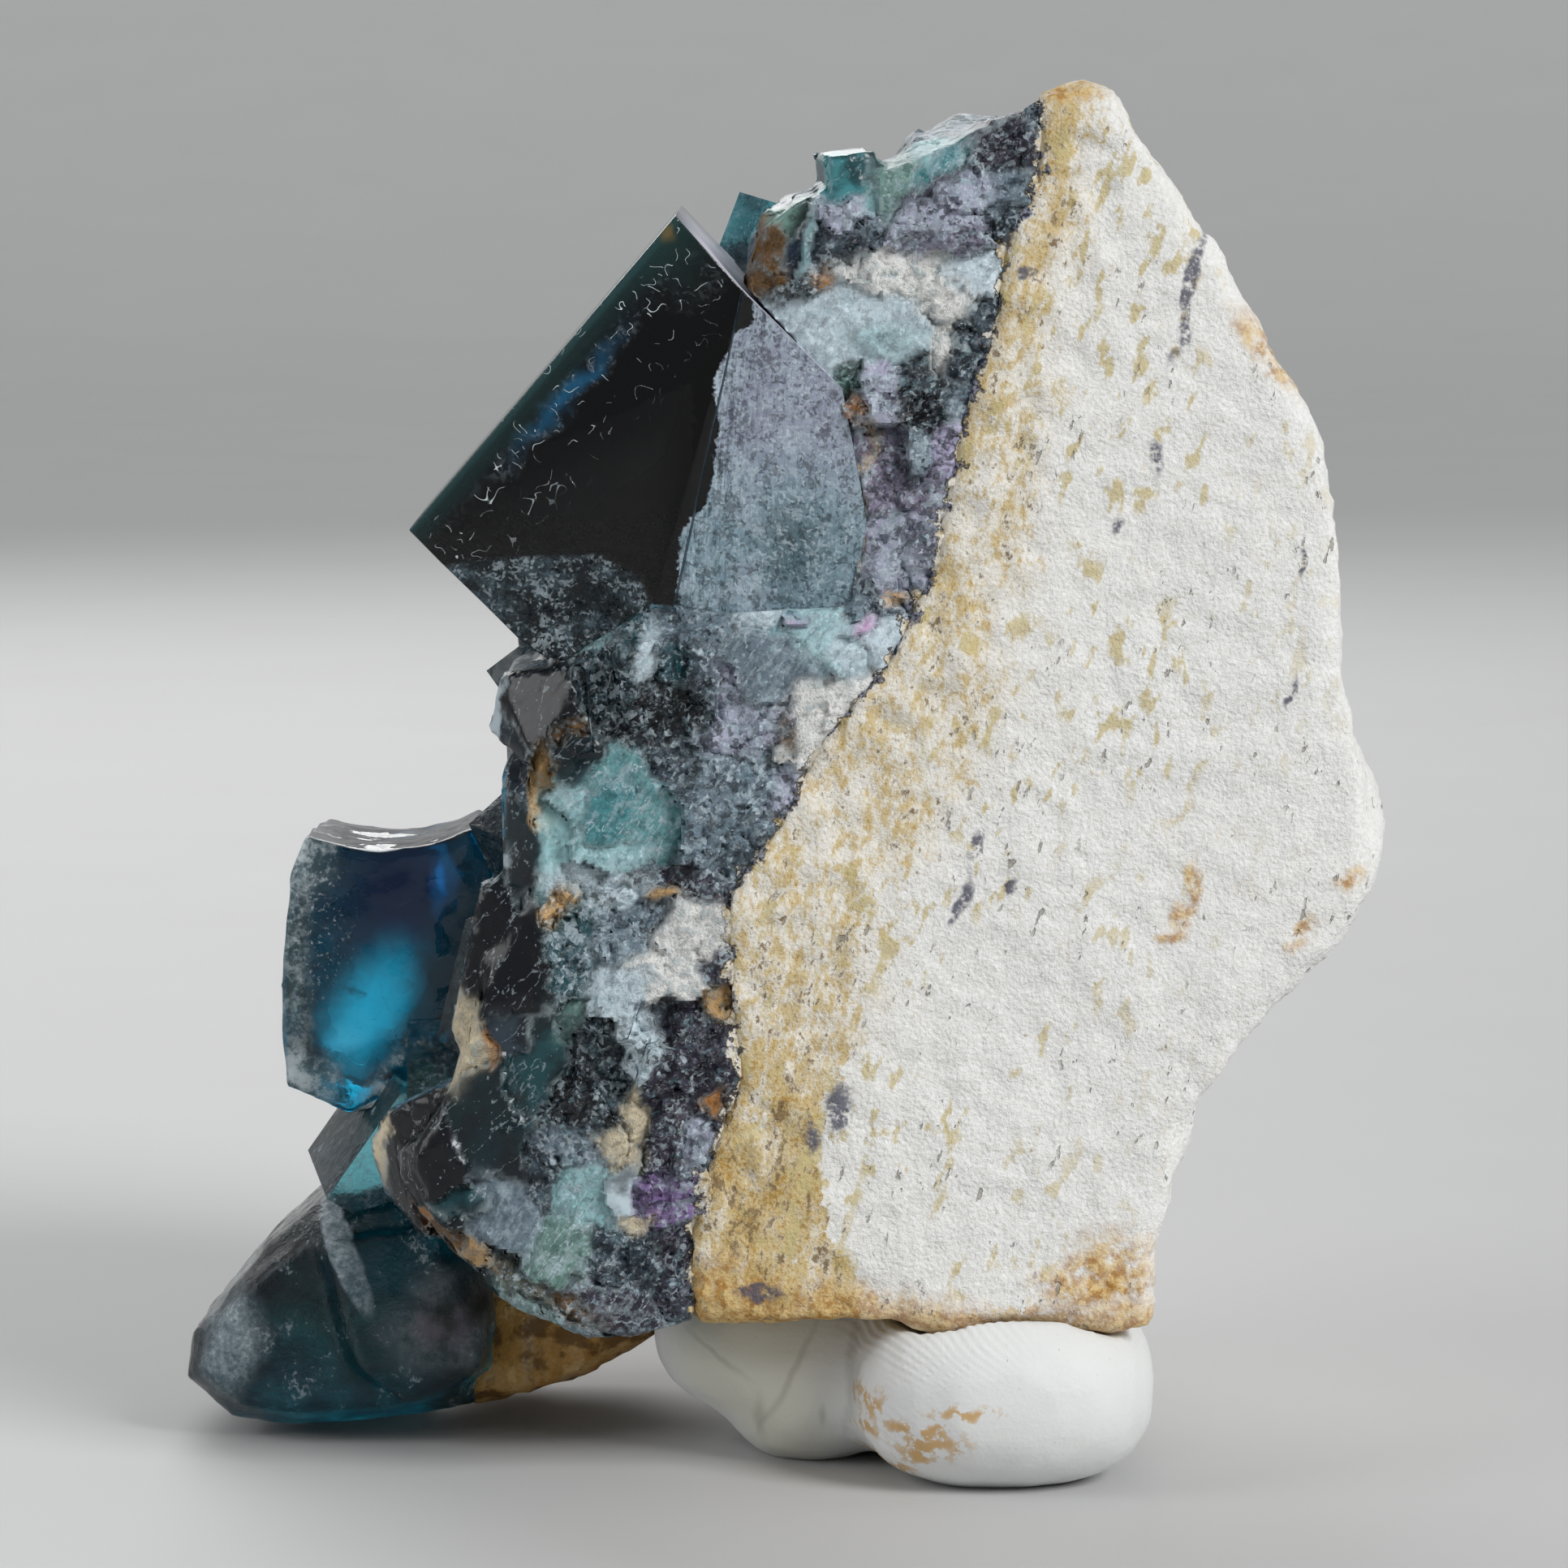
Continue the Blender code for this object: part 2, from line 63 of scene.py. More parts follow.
# %% From photograph to face
DATUM = Vector((0.276, -2.447, 0.0))      # where the solids' own drawing starts, in mm
FACE_SCALE = 0.0543                       # mm of the face for one pixel
FACE_MIDDLE = 966.0                       # the pixel column above the drawing's x = 0
FACE_TOP = 100.4                          # height in mm at pixel row 0
FRONT_Y = -26.0 + DATUM.y                 # the broken face, in mm


def on_face(px, py):
    """Place in mm on the broken face for a pixel of the photograph."""
    return (px - FACE_MIDDLE) * FACE_SCALE + DATUM.x, FACE_TOP - py * FACE_SCALE


def drawn(x, y, z):
    """Place in mm of the model for a point of the solids' own drawing."""
    return Vector((x, y, z)) + DATUM


print("apex of the rock", [round(v, 1) for v in on_face(1325, 101)])

# %% [markdown]
# ## Shader maths as plain expressions
# Procedural materials are sums and products of patterns. Wired by hand they grow into a web of
# nodes, so a small class wraps a socket and turns Python operators into Math nodes. Colours
# are mixed with Mix nodes, since a Math node would turn them grey.

# %% Sockets with operators
class Value:
    """A socket that carries numbers, with Python's operators."""

    def __init__(self, paint, socket):
        self.paint = paint
        self.socket = socket

    def _math(self, operation, *inputs):
        return self.paint.value("ShaderNodeMath", {"operation": operation}, inputs)

    def __add__(self, other):
        return self._math("ADD", self, other)

    __radd__ = __add__

    def __sub__(self, other):
        return self._math("SUBTRACT", self, other)

    def __rsub__(self, other):
        return self._math("SUBTRACT", other, self)

    def __mul__(self, other):
        return self._math("MULTIPLY", self, other)

    __rmul__ = __mul__

    def __truediv__(self, other):
        return self._math("DIVIDE", self, other)

    def at_least(self, other):
        return self._math("MAXIMUM", self, other)

    def at_most(self, other):
        return self._math("MINIMUM", self, other)

    def size(self):
        return self._math("ABSOLUTE", self)

    def step(self, low, high):
        """0 below low, 1 above high, smooth between; low may be the larger one."""
        settings = {"interpolation_type": "SMOOTHSTEP"}
        return self.paint.value("ShaderNodeMapRange", settings,
                                {"Value": self, "From Min": low, "From Max": high}, "Result")


# %% [markdown]
# A second class holds one material's node tree. One method adds any node, and a few short ones
# give the patterns that natural stone needs: noise, ovals on the face, ragged borders and bumps.

# %% Nodes of one material
class Paint:
    """One material, with short ways to add nodes."""

    def __init__(self, name):
        self.material = bpy.data.materials.new(name)
        self.material.use_nodes = True
        self.tree = self.material.node_tree
        self.tree.nodes.clear()

    def node(self, kind, settings=None, inputs=None):
        """Adds a node, makes its settings first, then fills or links its inputs."""
        made = self.tree.nodes.new(kind)
        for name, setting in (settings or {}).items():
            if name == "stops":
                self._stops(made.color_ramp, setting)
            else:
                setattr(made, name, setting)
        pairs = inputs.items() if isinstance(inputs, dict) else enumerate(inputs or ())
        for name, given in pairs:
            socket = made.inputs[name]
            if isinstance(given, Value):
                given = given.socket
            if isinstance(given, bpy.types.NodeSocket):
                self.tree.links.new(given, socket)
            else:
                socket.default_value = given
        return made

    @staticmethod
    def _stops(ramp, stops):
        while len(ramp.elements) < len(stops):
            ramp.elements.new(1.0)
        for element, (place, colour) in zip(ramp.elements, stops):
            element.position = place
            element.color = (*colour, 1.0)

    def value(self, kind, settings=None, inputs=None, output=0):
        return Value(self, self.node(kind, settings, inputs).outputs[output])

    def mix(self, share, first, second):
        """Colour between first and second; share 0 gives first."""
        def filled(colour):
            return (*colour, 1.0) if isinstance(colour, tuple) else colour
        mixer = self.node("ShaderNodeMix", {"data_type": "RGBA"}, {
            0: share, 6: filled(first), 7: filled(second)})
        return mixer.outputs[2]

    def vector(self, operation, *inputs):
        """The outputs of one Vector Math node: a vector first, and a number called Value."""
        return self.node("ShaderNodeVectorMath", {"operation": operation}, inputs).outputs

    def scaled(self, vector, amount):
        return self.node("ShaderNodeVectorMath", {"operation": "SCALE"},
                         {0: vector, "Scale": amount}).outputs[0]

    def place(self):
        """Object coordinates in millimetres."""
        return self.scaled(self.node("ShaderNodeTexCoord").outputs["Object"], 1.0 / MM)

    def split(self, vector):
        parts = self.node("ShaderNodeSeparateXYZ", None, [vector])
        return [Value(self, part) for part in parts.outputs]

    def noise(self, vector, size, detail=3.0, rough=0.55):
        """Cloudy values round 0.5, with features about the given size in mm."""
        return self.value("ShaderNodeTexNoise", None, {
            "Vector": vector, "Scale": 1.0 / size, "Detail": detail, "Roughness": rough})

    def turned(self, vector, angles=(0.0, 0.0, 0.0), stretch=(1.0, 1.0, 1.0),
               centre=(0.0, 0.0, 0.0)):
        """Coordinates about a centre, turned and divided by a stretch along each axis."""
        return self.node("ShaderNodeMapping", {"vector_type": "TEXTURE"}, {
            "Vector": vector, "Location": centre,
            "Rotation": [math.radians(a) for a in angles], "Scale": stretch}).outputs[0]

    def spot(self, vector, centre, radii, angle=0.0, soft=0.25):
        """1 inside an oval on the broken face, 0 outside; centre and radii in mm."""
        local = self.turned(vector, (0.0, angle, 0.0), (radii[0], 1e6, radii[1]),
                            (centre[0], 0.0, centre[1]))
        reach = Value(self, self.vector("LENGTH", local)["Value"])
        return reach.step(1.0 + soft, 1.0 - soft)

    def warped(self, vector, size, amount):
        """The same coordinates, pushed about by noise, so that straight borders turn ragged."""
        cloud = self.node("ShaderNodeTexNoise", None, {
            "Vector": vector, "Scale": 1.0 / size, "Detail": 3.0}).outputs["Color"]
        centred = self.vector("SUBTRACT", cloud, (0.5, 0.5, 0.5))[0]
        return self.vector("ADD", vector, self.scaled(centred, amount * 2.0))[0]

    def bump(self, height, depth):
        """A normal from a height field; depth in mm is what one unit of height stands for."""
        return self.node("ShaderNodeBump", None, {
            "Strength": 1.0, "Distance": depth * MM, "Height": height}).outputs[0]

    def solid(self, **inputs):
        """A Principled shader with the given inputs, spaces written as underscores."""
        named = {key.replace("_", " "): given for key, given in inputs.items()}
        return self.node("ShaderNodeBsdfPrincipled", None, named).outputs[0]

    def end(self, surface, volume=None):
        inputs = {"Surface": surface}
        if volume is not None:
            inputs["Volume"] = volume
        self.node("ShaderNodeOutputMaterial", None, inputs)
        return self.material


print("shader helpers ready")

# %% [markdown]
# ## Working by hand, in code
# Every piece below is made the way one works in the window: a start shape, an edit, a few
# modifiers that are then applied. These helpers only save repeating the selection steps.

# %% Hands
def only(piece):
    """Selects one object and makes it active."""
    bpy.ops.object.select_all(action="DESELECT")
    piece.select_set(True)
    bpy.context.view_layer.objects.active = piece


def duplicate(piece):
    """A second copy of an object, left selected."""
    only(piece)
    bpy.ops.object.duplicate()
    return bpy.context.active_object


def edit(piece, operator, kind="FACE", wanted=None, **settings):
    """One edit mode step on all of a piece, or on those faces or edges that are wanted."""
    only(piece)
    bpy.ops.object.mode_set(mode="EDIT")
    bpy.ops.mesh.select_mode(type=kind)
    bpy.ops.mesh.select_all(action="DESELECT" if wanted else "SELECT")
    if wanted:
        bpy.ops.object.mode_set(mode="OBJECT")
        for part in piece.data.polygons if kind == "FACE" else piece.data.edges:
            part.select = wanted(part)
        bpy.ops.object.mode_set(mode="EDIT")
    operator(**settings)
    bpy.ops.object.mode_set(mode="OBJECT")


def copy_node(node, name):
    """A merged copy of a solid's loose triangles, to be worked on."""
    piece = duplicate(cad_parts[node])
    piece.name = name
    piece.data.name = name
    for key in [key for key in piece.keys() if key.startswith("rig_")]:
        del piece[key]
    piece.parent = None
    piece.data.materials.clear()
    edit(piece, bpy.ops.mesh.remove_doubles, threshold=0.01 * MM)
    return piece


def modify(piece, kind, **settings):
    """Adds a modifier, sets it and applies it."""
    only(piece)
    step = piece.modifiers.new(kind.title(), kind)
    for key, setting in settings.items():
        setattr(step, key, setting)
    bpy.ops.object.modifier_apply(modifier=step.name)
    return piece


def texture(kind, size, **settings):
    """A modelling texture with features of the given size in mm."""
    made = bpy.data.textures.new(kind.lower(), kind)
    made.noise_scale = size * MM
    for key, setting in settings.items():
        setattr(made, key, setting)
    return made


def push(piece, pattern, depth):
    """Moves the surface in or out along its normals by a texture; depth in mm."""
    return modify(piece, "DISPLACE", texture=pattern, texture_coords="LOCAL", direction="NORMAL",
                  strength=depth * MM, mid_level=0.5)


def bevel(piece, width, segments=2, angle=25.0):
    """Rounds the edges that turn by more than an angle; width in metres."""
    return modify(piece, "BEVEL", width=width, segments=segments, limit_method="ANGLE",
                  angle_limit=math.radians(angle))


def smooth_shade(piece, angle=None):
    only(piece)
    if angle is None:
        bpy.ops.object.shade_smooth()
    else:
        bpy.ops.object.shade_smooth_by_angle(angle=math.radians(angle))


def dress(piece, material, slot, *nodes):
    """Gives a finished piece its material; the slot, which says what it stands for, is not used.
    """
    piece.data.materials.clear()
    piece.data.materials.append(material)
    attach(piece, "root")
    if nodes:
        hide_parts(*nodes)
    print(piece.name, len(piece.data.polygons), "faces")


# %% [markdown]
# ## The line between crust and rock
# The crust grew on the rock along an uneven line, and iron stain has worked into the rock
# beside it. Rock and crust both need this line, so it is kept as a few points, from the top
# down, and written into a ramp that gives the line's x at any height. The right edge of the
# stain is a second such line.

# %% Contact line
CONTACT = [
    (1285, 60), (1275, 230), (1240, 290), (1222, 400), (1195, 500), (1165, 620),
    (1140, 720), (1085, 830), (1015, 905), (960, 1010), (893, 1110), (903, 1250),
    (906, 1330), (874, 1435), (850, 1530), (850, 1720),
]
STAIN_EDGE = [
    (1336, 60), (1340, 250), (1318, 400), (1280, 500), (1250, 620), (1236, 720), (1228, 850),
    (1190, 950), (1120, 1050), (1092, 1150), (1062, 1250), (1036, 1330), (1014, 1392),
    (1008, 1440), (1022, 1490), (1018, 1530), (1052, 1580), (1070, 1720),
]
LINE_LOW, LINE_HIGH = -30.0, 25.0         # range of x in mm that the ramp can hold
LINE_TOP = 100.0                          # height in mm where the ramp ends


def x_at(line, z):
    """The x of a line at a height; the line's points go upward."""
    for (x_low, z_low), (x_high, z_high) in zip(line, line[1:]):
        if z_low <= z <= z_high:
            return x_low + (x_high - x_low) * (z - z_low) / (z_high - z_low)
    return line[0][0] if z < line[0][1] else line[-1][0]


def beyond_contact(places):
    """How far in mm each place is to the right of the contact."""
    line = [on_face(*pixel) for pixel in reversed(CONTACT)]
    return places[:, 0] - np.array([x_at(line, z) for z in places[:, 2]])


def past(paint, line, x, z):
    """How far in mm a point is to the right of a line that runs down the face."""
    stops = []
    for px, py in reversed(line):
        line_x, line_z = on_face(px, py)
        level = (line_x - LINE_LOW) / (LINE_HIGH - LINE_LOW)
        stops.append((max(0.0, line_z / LINE_TOP), (level, level, level)))
    ramp = paint.value("ShaderNodeValToRGB", {"stops": stops}, [z / LINE_TOP])
    return x - (ramp * (LINE_HIGH - LINE_LOW) + LINE_LOW)


def crumbly(paint, place, contact):
    """The distance from the contact with a crumbly border in place of a smooth one."""
    return contact + (paint.noise(place, 1.5, 5.0, 0.65) - 0.5) * 5.0


print("origin to contact", beyond_contact(np.array([[0.0, 0.0, 50.0]])).round(1), "mm")

# %% [markdown]
# ## The rock
# The host rock broke with a sandy, pitted surface. The solid gives its outline and its swells.
# Here a copy gets a new even skin, finer on the broken face than behind, and three textures
# push that skin in and out: soft swells, grains, and small pits. Real relief is used because
# it catches light at the edge, where a bump map would leave a smooth outline.

# %% Rock surface
CLOSE_GAP = 0.34                          # mm by which a skin reaches over the solids' gap
GAP_REACH = 1.6                           # mm from the contact within which a skin moves


def arrays(piece):
    """A piece's points and normals in mm, as arrays."""
    count = len(piece.data.vertices)
    places = np.empty(count * 3)
    normals = np.empty(count * 3)
    piece.data.vertices.foreach_get("co", places)
    piece.data.vertices.foreach_get("normal", normals)
    return places.reshape(-1, 3) / MM, normals.reshape(-1, 3)


def write_places(piece, places):
    """Puts a piece's points at new places in mm."""
    piece.data.vertices.foreach_set("co", (places * MM).ravel())
    piece.data.update()


def close_gap(places, normals, way, where):
    """Moves the skin at the contact over the gap, to the right for way 1, left for -1."""
    near = np.clip(GAP_REACH - np.abs(beyond_contact(places)), 0.0, 1.0) * where
    places[:, 0] += way * near * np.clip(way * normals[:, 0] * 2.0, 0.0, 1.0) * CLOSE_GAP


def new_skin(piece, cell):
    """Even small faces all over, drawn back onto the shape that the piece had."""
    guide = duplicate(piece)
    modify(piece, "REMESH", mode="VOXEL", voxel_size=cell * MM)
    modify(piece, "SHRINKWRAP", target=guide, wrap_method="NEAREST_SURFACEPOINT")
    bpy.data.objects.remove(guide, do_unlink=True)
    return piece


def refine(piece, depth, cuts, above=-1.0):
    """Cuts faces smaller, down to a depth in mm from the broken face and above a height."""
    def wanted(face):
        centre = face.center / MM
        return centre.y < FRONT_Y + depth and centre.z > above
    edit(piece, bpy.ops.mesh.subdivide, wanted=wanted, number_cuts=cuts)


rock = copy_node("matrix_rock", "pale_rock")
rock_space = duplicate(rock)
new_skin(rock, 0.95)
refine(rock, 5.0, 1)
modify(rock, "SMOOTH", factor=0.5, iterations=1)
push(rock, texture("CLOUDS", 2.6, noise_depth=2), 0.5)
push(rock, texture("CLOUDS", 0.9, noise_depth=1), 0.32)
rock_places, rock_normals = arrays(rock)
sandy = np.clip(1.0 - np.abs(beyond_contact(rock_places) - 3.0) / 5.0, 0.0, 1.0)
facing = np.clip(-rock_normals[:, 1] * 1.6, 0.0, 1.0)
crumbs = np.array([noise.noise(Vector(place) / 0.75) * 0.28
                   + noise.noise(Vector(place) / 1.9) * 0.45
                   + noise.noise(Vector(place) / 9.0) * 0.5 for place in rock_places])
close_gap(rock_places, rock_normals, -1.0, rock_places[:, 1] < FRONT_Y + 12.0)
rock_places[:, 1] -= facing * crumbs * (0.25 + sandy)
write_places(rock, rock_places)
smooth_shade(rock)
print("rock skin", len(rock.data.polygons))

# %% [markdown]
# The rock's colour has three layers. Most of it is nearly white. Along the contact with the
# crust iron has stained a sandy ochre band, and a few grey-violet veinlets cut the face.
# The band follows the contact line, so it is painted by distance from that line.

# %% Rock colour
def tone(red, green, blue):
    """A colour as picked on a screen, 0 to 255, in the linear values that shaders use."""
    return tuple(((c / 255.0 + 0.055) / 1.055) ** 2.4 if c > 10 else c / 255.0 / 12.92
                 for c in (red, green, blue))


def size_of(pixels):
    """Length in mm on the broken face for a length in pixels."""
    return pixels * FACE_SCALE


def face_spot(paint, vector, px, py, wide, tall, angle=0.0, soft=0.25):
    """An oval mark on the broken face; place and half sizes in pixels, angle clockwise."""
    return paint.spot(vector, on_face(px, py), (size_of(wide), size_of(tall)), angle, soft)


VEINLETS = [
    (1462, 360, 7, 84, 12), (1425, 556, 8, 22, -8), (1186, 1108, 8, 36, 16),
    (1032, 1364, 14, 30, 12), (1265, 336, 14, 9, 0), (1600, 690, 5, 22, 8),
    (1376, 640, 6, 12, 20), (1247, 1090, 5, 14, 20), (1590, 850, 5, 20, 12),
    (1000, 1400, 8, 26, -8), (934, 1600, 30, 9, 8), (1204, 1040, 7, 16, 20),
]
RUST_SPOTS = [
    (1474, 1088, 9, 32, 8), (1457, 1126, 13, 20, 26), (1445, 1156, 14, 9, 0),
    (1668, 1078, 20, 12, -30), (1606, 1150, 26, 12, -45), (1560, 430, 18, 58, -38),
    (1374, 1566, 52, 44, 0), (1330, 1590, 46, 30, 0), (1390, 1600, 40, 30, 0),
    (1000, 1612, 170, 26, 3), (884, 1586, 44, 34, 0), (1318, 112, 40, 12, 0),
]


def sand(paint, place, stain):
    """Colour of the rock; stain goes from 0, clean and pale, to 1, sandy and golden."""
    upright = paint.turned(place, (0.0, 10.0, 0.0), (1.0, 1.0, 1.7))
    crumbs = (paint.noise(upright, 0.70, 5.0, 0.70) - 0.5) * 3.0
    grit = (paint.noise(place, 0.30, 3.0, 0.6) - 0.5) * 2.4
    clouds = (paint.noise(upright, 3.2, 3.0) - 0.5) * 1.5
    streaks = (paint.noise(paint.turned(place, (0.0, 6.0, 0.0), (1.0, 1.0, 5.0)), 1.6, 3.0)
               - 0.5) * 1.6
    amount = stain + (clouds + streaks * 0.5) * stain
    colour = paint.mix(grit.step(-0.5, 0.5), tone(222, 221, 217), tone(238, 238, 236))
    colour = paint.mix(amount.step(0.0, 1.0) * 0.65, colour, tone(224, 215, 194))
    colour = paint.mix((amount * 0.9 + crumbs).step(0.42, 0.95) * stain.step(0.02, 0.3),
                       colour, tone(204, 184, 140))
    colour = paint.mix((amount * 0.8 + crumbs * 0.6 + grit * 0.8).step(0.80, 1.25), colour,
                       tone(176, 142, 80))
    dark = (amount * 0.55 - crumbs * 1.1 - grit * 0.35 + streaks * 0.6 * stain).step(0.60, 1.0)
    return paint.mix(dark * 0.9, colour, tone(124, 100, 62))


def rock_material():
    paint = Paint("pale_rock")
    place = paint.place()
    x, y, z = paint.split(place)
    front = y.step(FRONT_Y + 9.0, FRONT_Y + 5.5)
    clouds = paint.noise(place, 8.0, 4.0)
    crumbs = paint.noise(place, 1.1, 4.0, 0.65)
    grain = paint.noise(place, 0.28, 2.0)
    low = z.step(33.0, 27.0)
    high = z.step(66.0, 90.0)

    beyond = past(paint, STAIN_EDGE, x, z)
    soft_edge = (beyond + (clouds - 0.5) * 11.0).step(3.4, -2.6)
    sharp_edge = (beyond + (crumbs - 0.5) * 3.5 + (clouds - 0.5) * 5.0).step(0.5, -0.3)
    band = (soft_edge * (0.50 + high * 0.15) * (1.0 - low) + sharp_edge * low)
    scattered = (beyond + (clouds - 0.5) * 8.0).step(13.0, 0.0) * 0.16
    stain = (band + scattered).at_most(1.0) * front
    contact = past(paint, CONTACT, x, z)
    ledge = contact.step(-1.0, -2.5) * z.step(30.0, 24.0) * (1.0 - front)
    weather = (1.0 - front) * (clouds * 0.7 + crumbs * 0.6).step(0.45, 0.95) * 0.75
    colour = sand(paint, place, (stain + weather + ledge).at_most(1.1))
    flecks = paint.noise(paint.turned(place, (0.0, 16.0, 0.0), (1.0, 1.0, 2.0)), 1.3, 3.0)
    flecks = flecks.step(0.55, 0.63) * clouds.step(0.42, 0.53) * beyond.step(30.0, 8.0) * front
    colour = paint.mix(flecks * 0.8, colour, tone(200, 184, 132))

    ragged = paint.warped(place, 2.2, 1.1)
    rusty = paint.mix(paint.noise(place, 0.8, 4.0, 0.7).step(0.40, 0.60), tone(172, 124, 58),
                      tone(220, 190, 132))
    for px, py, wide, tall, angle in RUST_SPOTS:
        mark = face_spot(paint, ragged, px, py, wide, tall, angle, 0.6) * front
        mark = mark * ((crumbs - 0.34) * 4.5).at_least(0.0).at_most(1.0)
        colour = paint.mix(mark * 0.85, colour, rusty)
    lip = (z + (crumbs - 0.5) * 5.0).step(13.0, 11.8) * beyond.step(-14.0, -8.0) * front
    colour = paint.mix(lip * (0.4 + crumbs * 0.8).at_most(0.85), colour, rusty)
    for px, py, wide, tall, angle in VEINLETS:
        mark = face_spot(paint, ragged, px, py, wide, tall, angle, 0.35) * front
        mark = mark * (grain * 0.5 + crumbs * 0.8).step(0.48, 0.72)
        colour = paint.mix(mark * 0.9, colour, tone(84, 84, 100))

    slanting = paint.turned(place, (0.0, 20.0, 0.0), (1.0, 1.0, 2.4))
    pit_field = paint.noise(slanting, 0.66, 3.0, 0.6)
    pits = pit_field.step(0.365, 0.315) * paint.noise(place, 6.0, 3.0).step(0.45, 0.57)
    # painted shade: the small pits are painted grey as well as bumped in
    colour = paint.mix(pits * 0.75, colour, tone(152, 146, 134))

    golden = ledge * (0.35 + crumbs * 0.7)
    colour = paint.mix(golden.at_most(0.9), colour, tone(184, 136, 68))
    blotches = paint.noise(place, 3.0, 4.0, 0.6)
    colour = paint.mix(ledge * blotches.step(0.52, 0.40) * 0.8, colour, tone(92, 64, 34))
    colour = paint.mix(ledge * blotches.step(0.56, 0.66) * 0.7, colour, tone(218, 184, 128))

    border = crumbly(paint, place, contact)
    grey = paint.mix(grain.step(0.4, 0.6), tone(52, 56, 68), tone(150, 152, 166))
    colour = paint.mix(border.step(0.10, -0.15) * front, colour, grey)
    # painted shade of the crack along the contact: a dark, broken line
    crack_shade = border.size().step(0.20, 0.05) * front * clouds.step(0.40, 0.55)
    colour = paint.mix(crack_shade * 0.8, colour, tone(58, 46, 36))

    height = crumbs * 0.5 + grain * 0.30 - pits * 0.35
    surface = paint.solid(Base_Color=colour, Roughness=0.9, Normal=paint.bump(height, 0.45),
                          Specular_IOR_Level=0.25)
    return paint.end(surface)


dress(rock, rock_material(), "matrix_rock", "matrix_rock")

# %% [markdown]
# ## The crystals of the display side
# Behind the broken edge the crust carries cubes that grew through each other at all angles.
# Each is one primitive, turned, with a small bevel for its worn edges. The draws come from
# the same seed and in the same order as in the solids, so cube and solid agree.

# %% Grown cubes
CRUST_SIDE = [
    (-12.0, 10.6), (-18.0, 12.6), (-23.0, 16.6), (-26.0, 21.5), (-23.2, 27.0), (-20.6, 32.0),
    (-17.6, 39.5), (-17.4, 49.1), (-16.0, 56.0), (-10.0, 66.0), (-6.0, 76.0), (-1.0, 85.6),
    (3.6, 87.6), (7.5, 89.8), (12.0, 92.2), (16.0, 94.4),
]
SEED = 11
ROWS_Y = (-9.0, -1.0, 7.5, 15.5, 23.0)    # each row of cubes, one behind the other, in mm
COLUMNS = 7
FIRST_Z, PITCH_Z = 23.0, 9.6              # height of a row's lowest cube, and from cube to cube
ODD_ROW_LIFT = 4.5                        # mm that every other row starts higher
LAST_CUBE = (9.0, (-26.4, -4.5, 19.8), (15.0, 32.0, 20.0))
SPACE_CLEAR = 0.35                        # mm that a grown cube stays off the single crystals


def cube(edge, centre, turn, grow):
    """A cube in the drawing's mm, turned by degrees about X, Y and Z."""
    bpy.ops.object.select_all(action="DESELECT")
    bpy.ops.mesh.primitive_cube_add(size=1.0, location=drawn(*centre) * MM,
                                    rotation=[math.radians(a) for a in turn])
    made = bpy.context.active_object
    made.scale = [edge * grow * MM] * 3
    bpy.ops.object.transform_apply(location=True, rotation=True, scale=True)
    return made


def side_places():
    """Edge length, centre and turn of every cube on the display side."""
    draw = random.Random(SEED)
    places = []
    for row, y in enumerate(ROWS_Y):
        shrink = 1.0 - max(0.0, y - 2.0) / 115.0
        for column in range(COLUMNS):
            z = FIRST_Z + column * PITCH_Z + (row % 2) * ODD_ROW_LIFT + draw.uniform(-1.2, 1.2)
            edge = draw.uniform(7.5, 11.5)
            turn = [draw.uniform(-38.0, 38.0) for _ in range(3)]
            place_y = y + draw.uniform(-1.5, 1.5)
            if z > (84.0 if y > 0.0 else 79.0) or (y > 20.0 and z > 76.0):
                continue
            x = 6.0 + (x_at(CRUST_SIDE, z) - 6.0) * shrink + edge * 0.45
            places.append((edge, (x, place_y, 50.0 + (z - 50.0) * shrink), turn))
    return places + [LAST_CUBE]


def combine(piece, operation, tool):
    """Joins a tool to a piece or cuts it out, and removes the tool."""
    modify(piece, "BOOLEAN", operation=operation, object=tool, solver="EXACT")
    bpy.data.objects.remove(tool, do_unlink=True)


def grown_cubes(name, grow):
    """All display cubes as one closed shape."""
    whole, *others = [cube(*place, grow) for place in SIDE_CUBES]
    whole.name = name
    for other in others:
        combine(whole, "UNION", other)
    return whole


SIDE_CUBES = side_places()
sockets = grown_cubes("sockets", 1.005)
grown = grown_cubes("grown_cubes", 1.03)
combine(grown, "DIFFERENCE", rock_space)
for node in ("large_cube_crystal", "blue_crystal", "lower_crystals"):
    space = copy_node(node, "space")
    modify(space, "DISPLACE", direction="NORMAL", strength=SPACE_CLEAR * MM, mid_level=0.0)
    combine(grown, "DIFFERENCE", space)

# %% [markdown]
# ## The crust, a mosaic of grains
# Seen on its broken edge the crust is a mosaic: dark clear crystals, sugary grey masses, milky
# aqua and chalky grains that grew until they met. Each grain is written down once, by its
# middle, its half sizes and its kind. A point belongs to the grain that it is deepest in, so
# neighbours meet in one shared border and nothing is left between them.

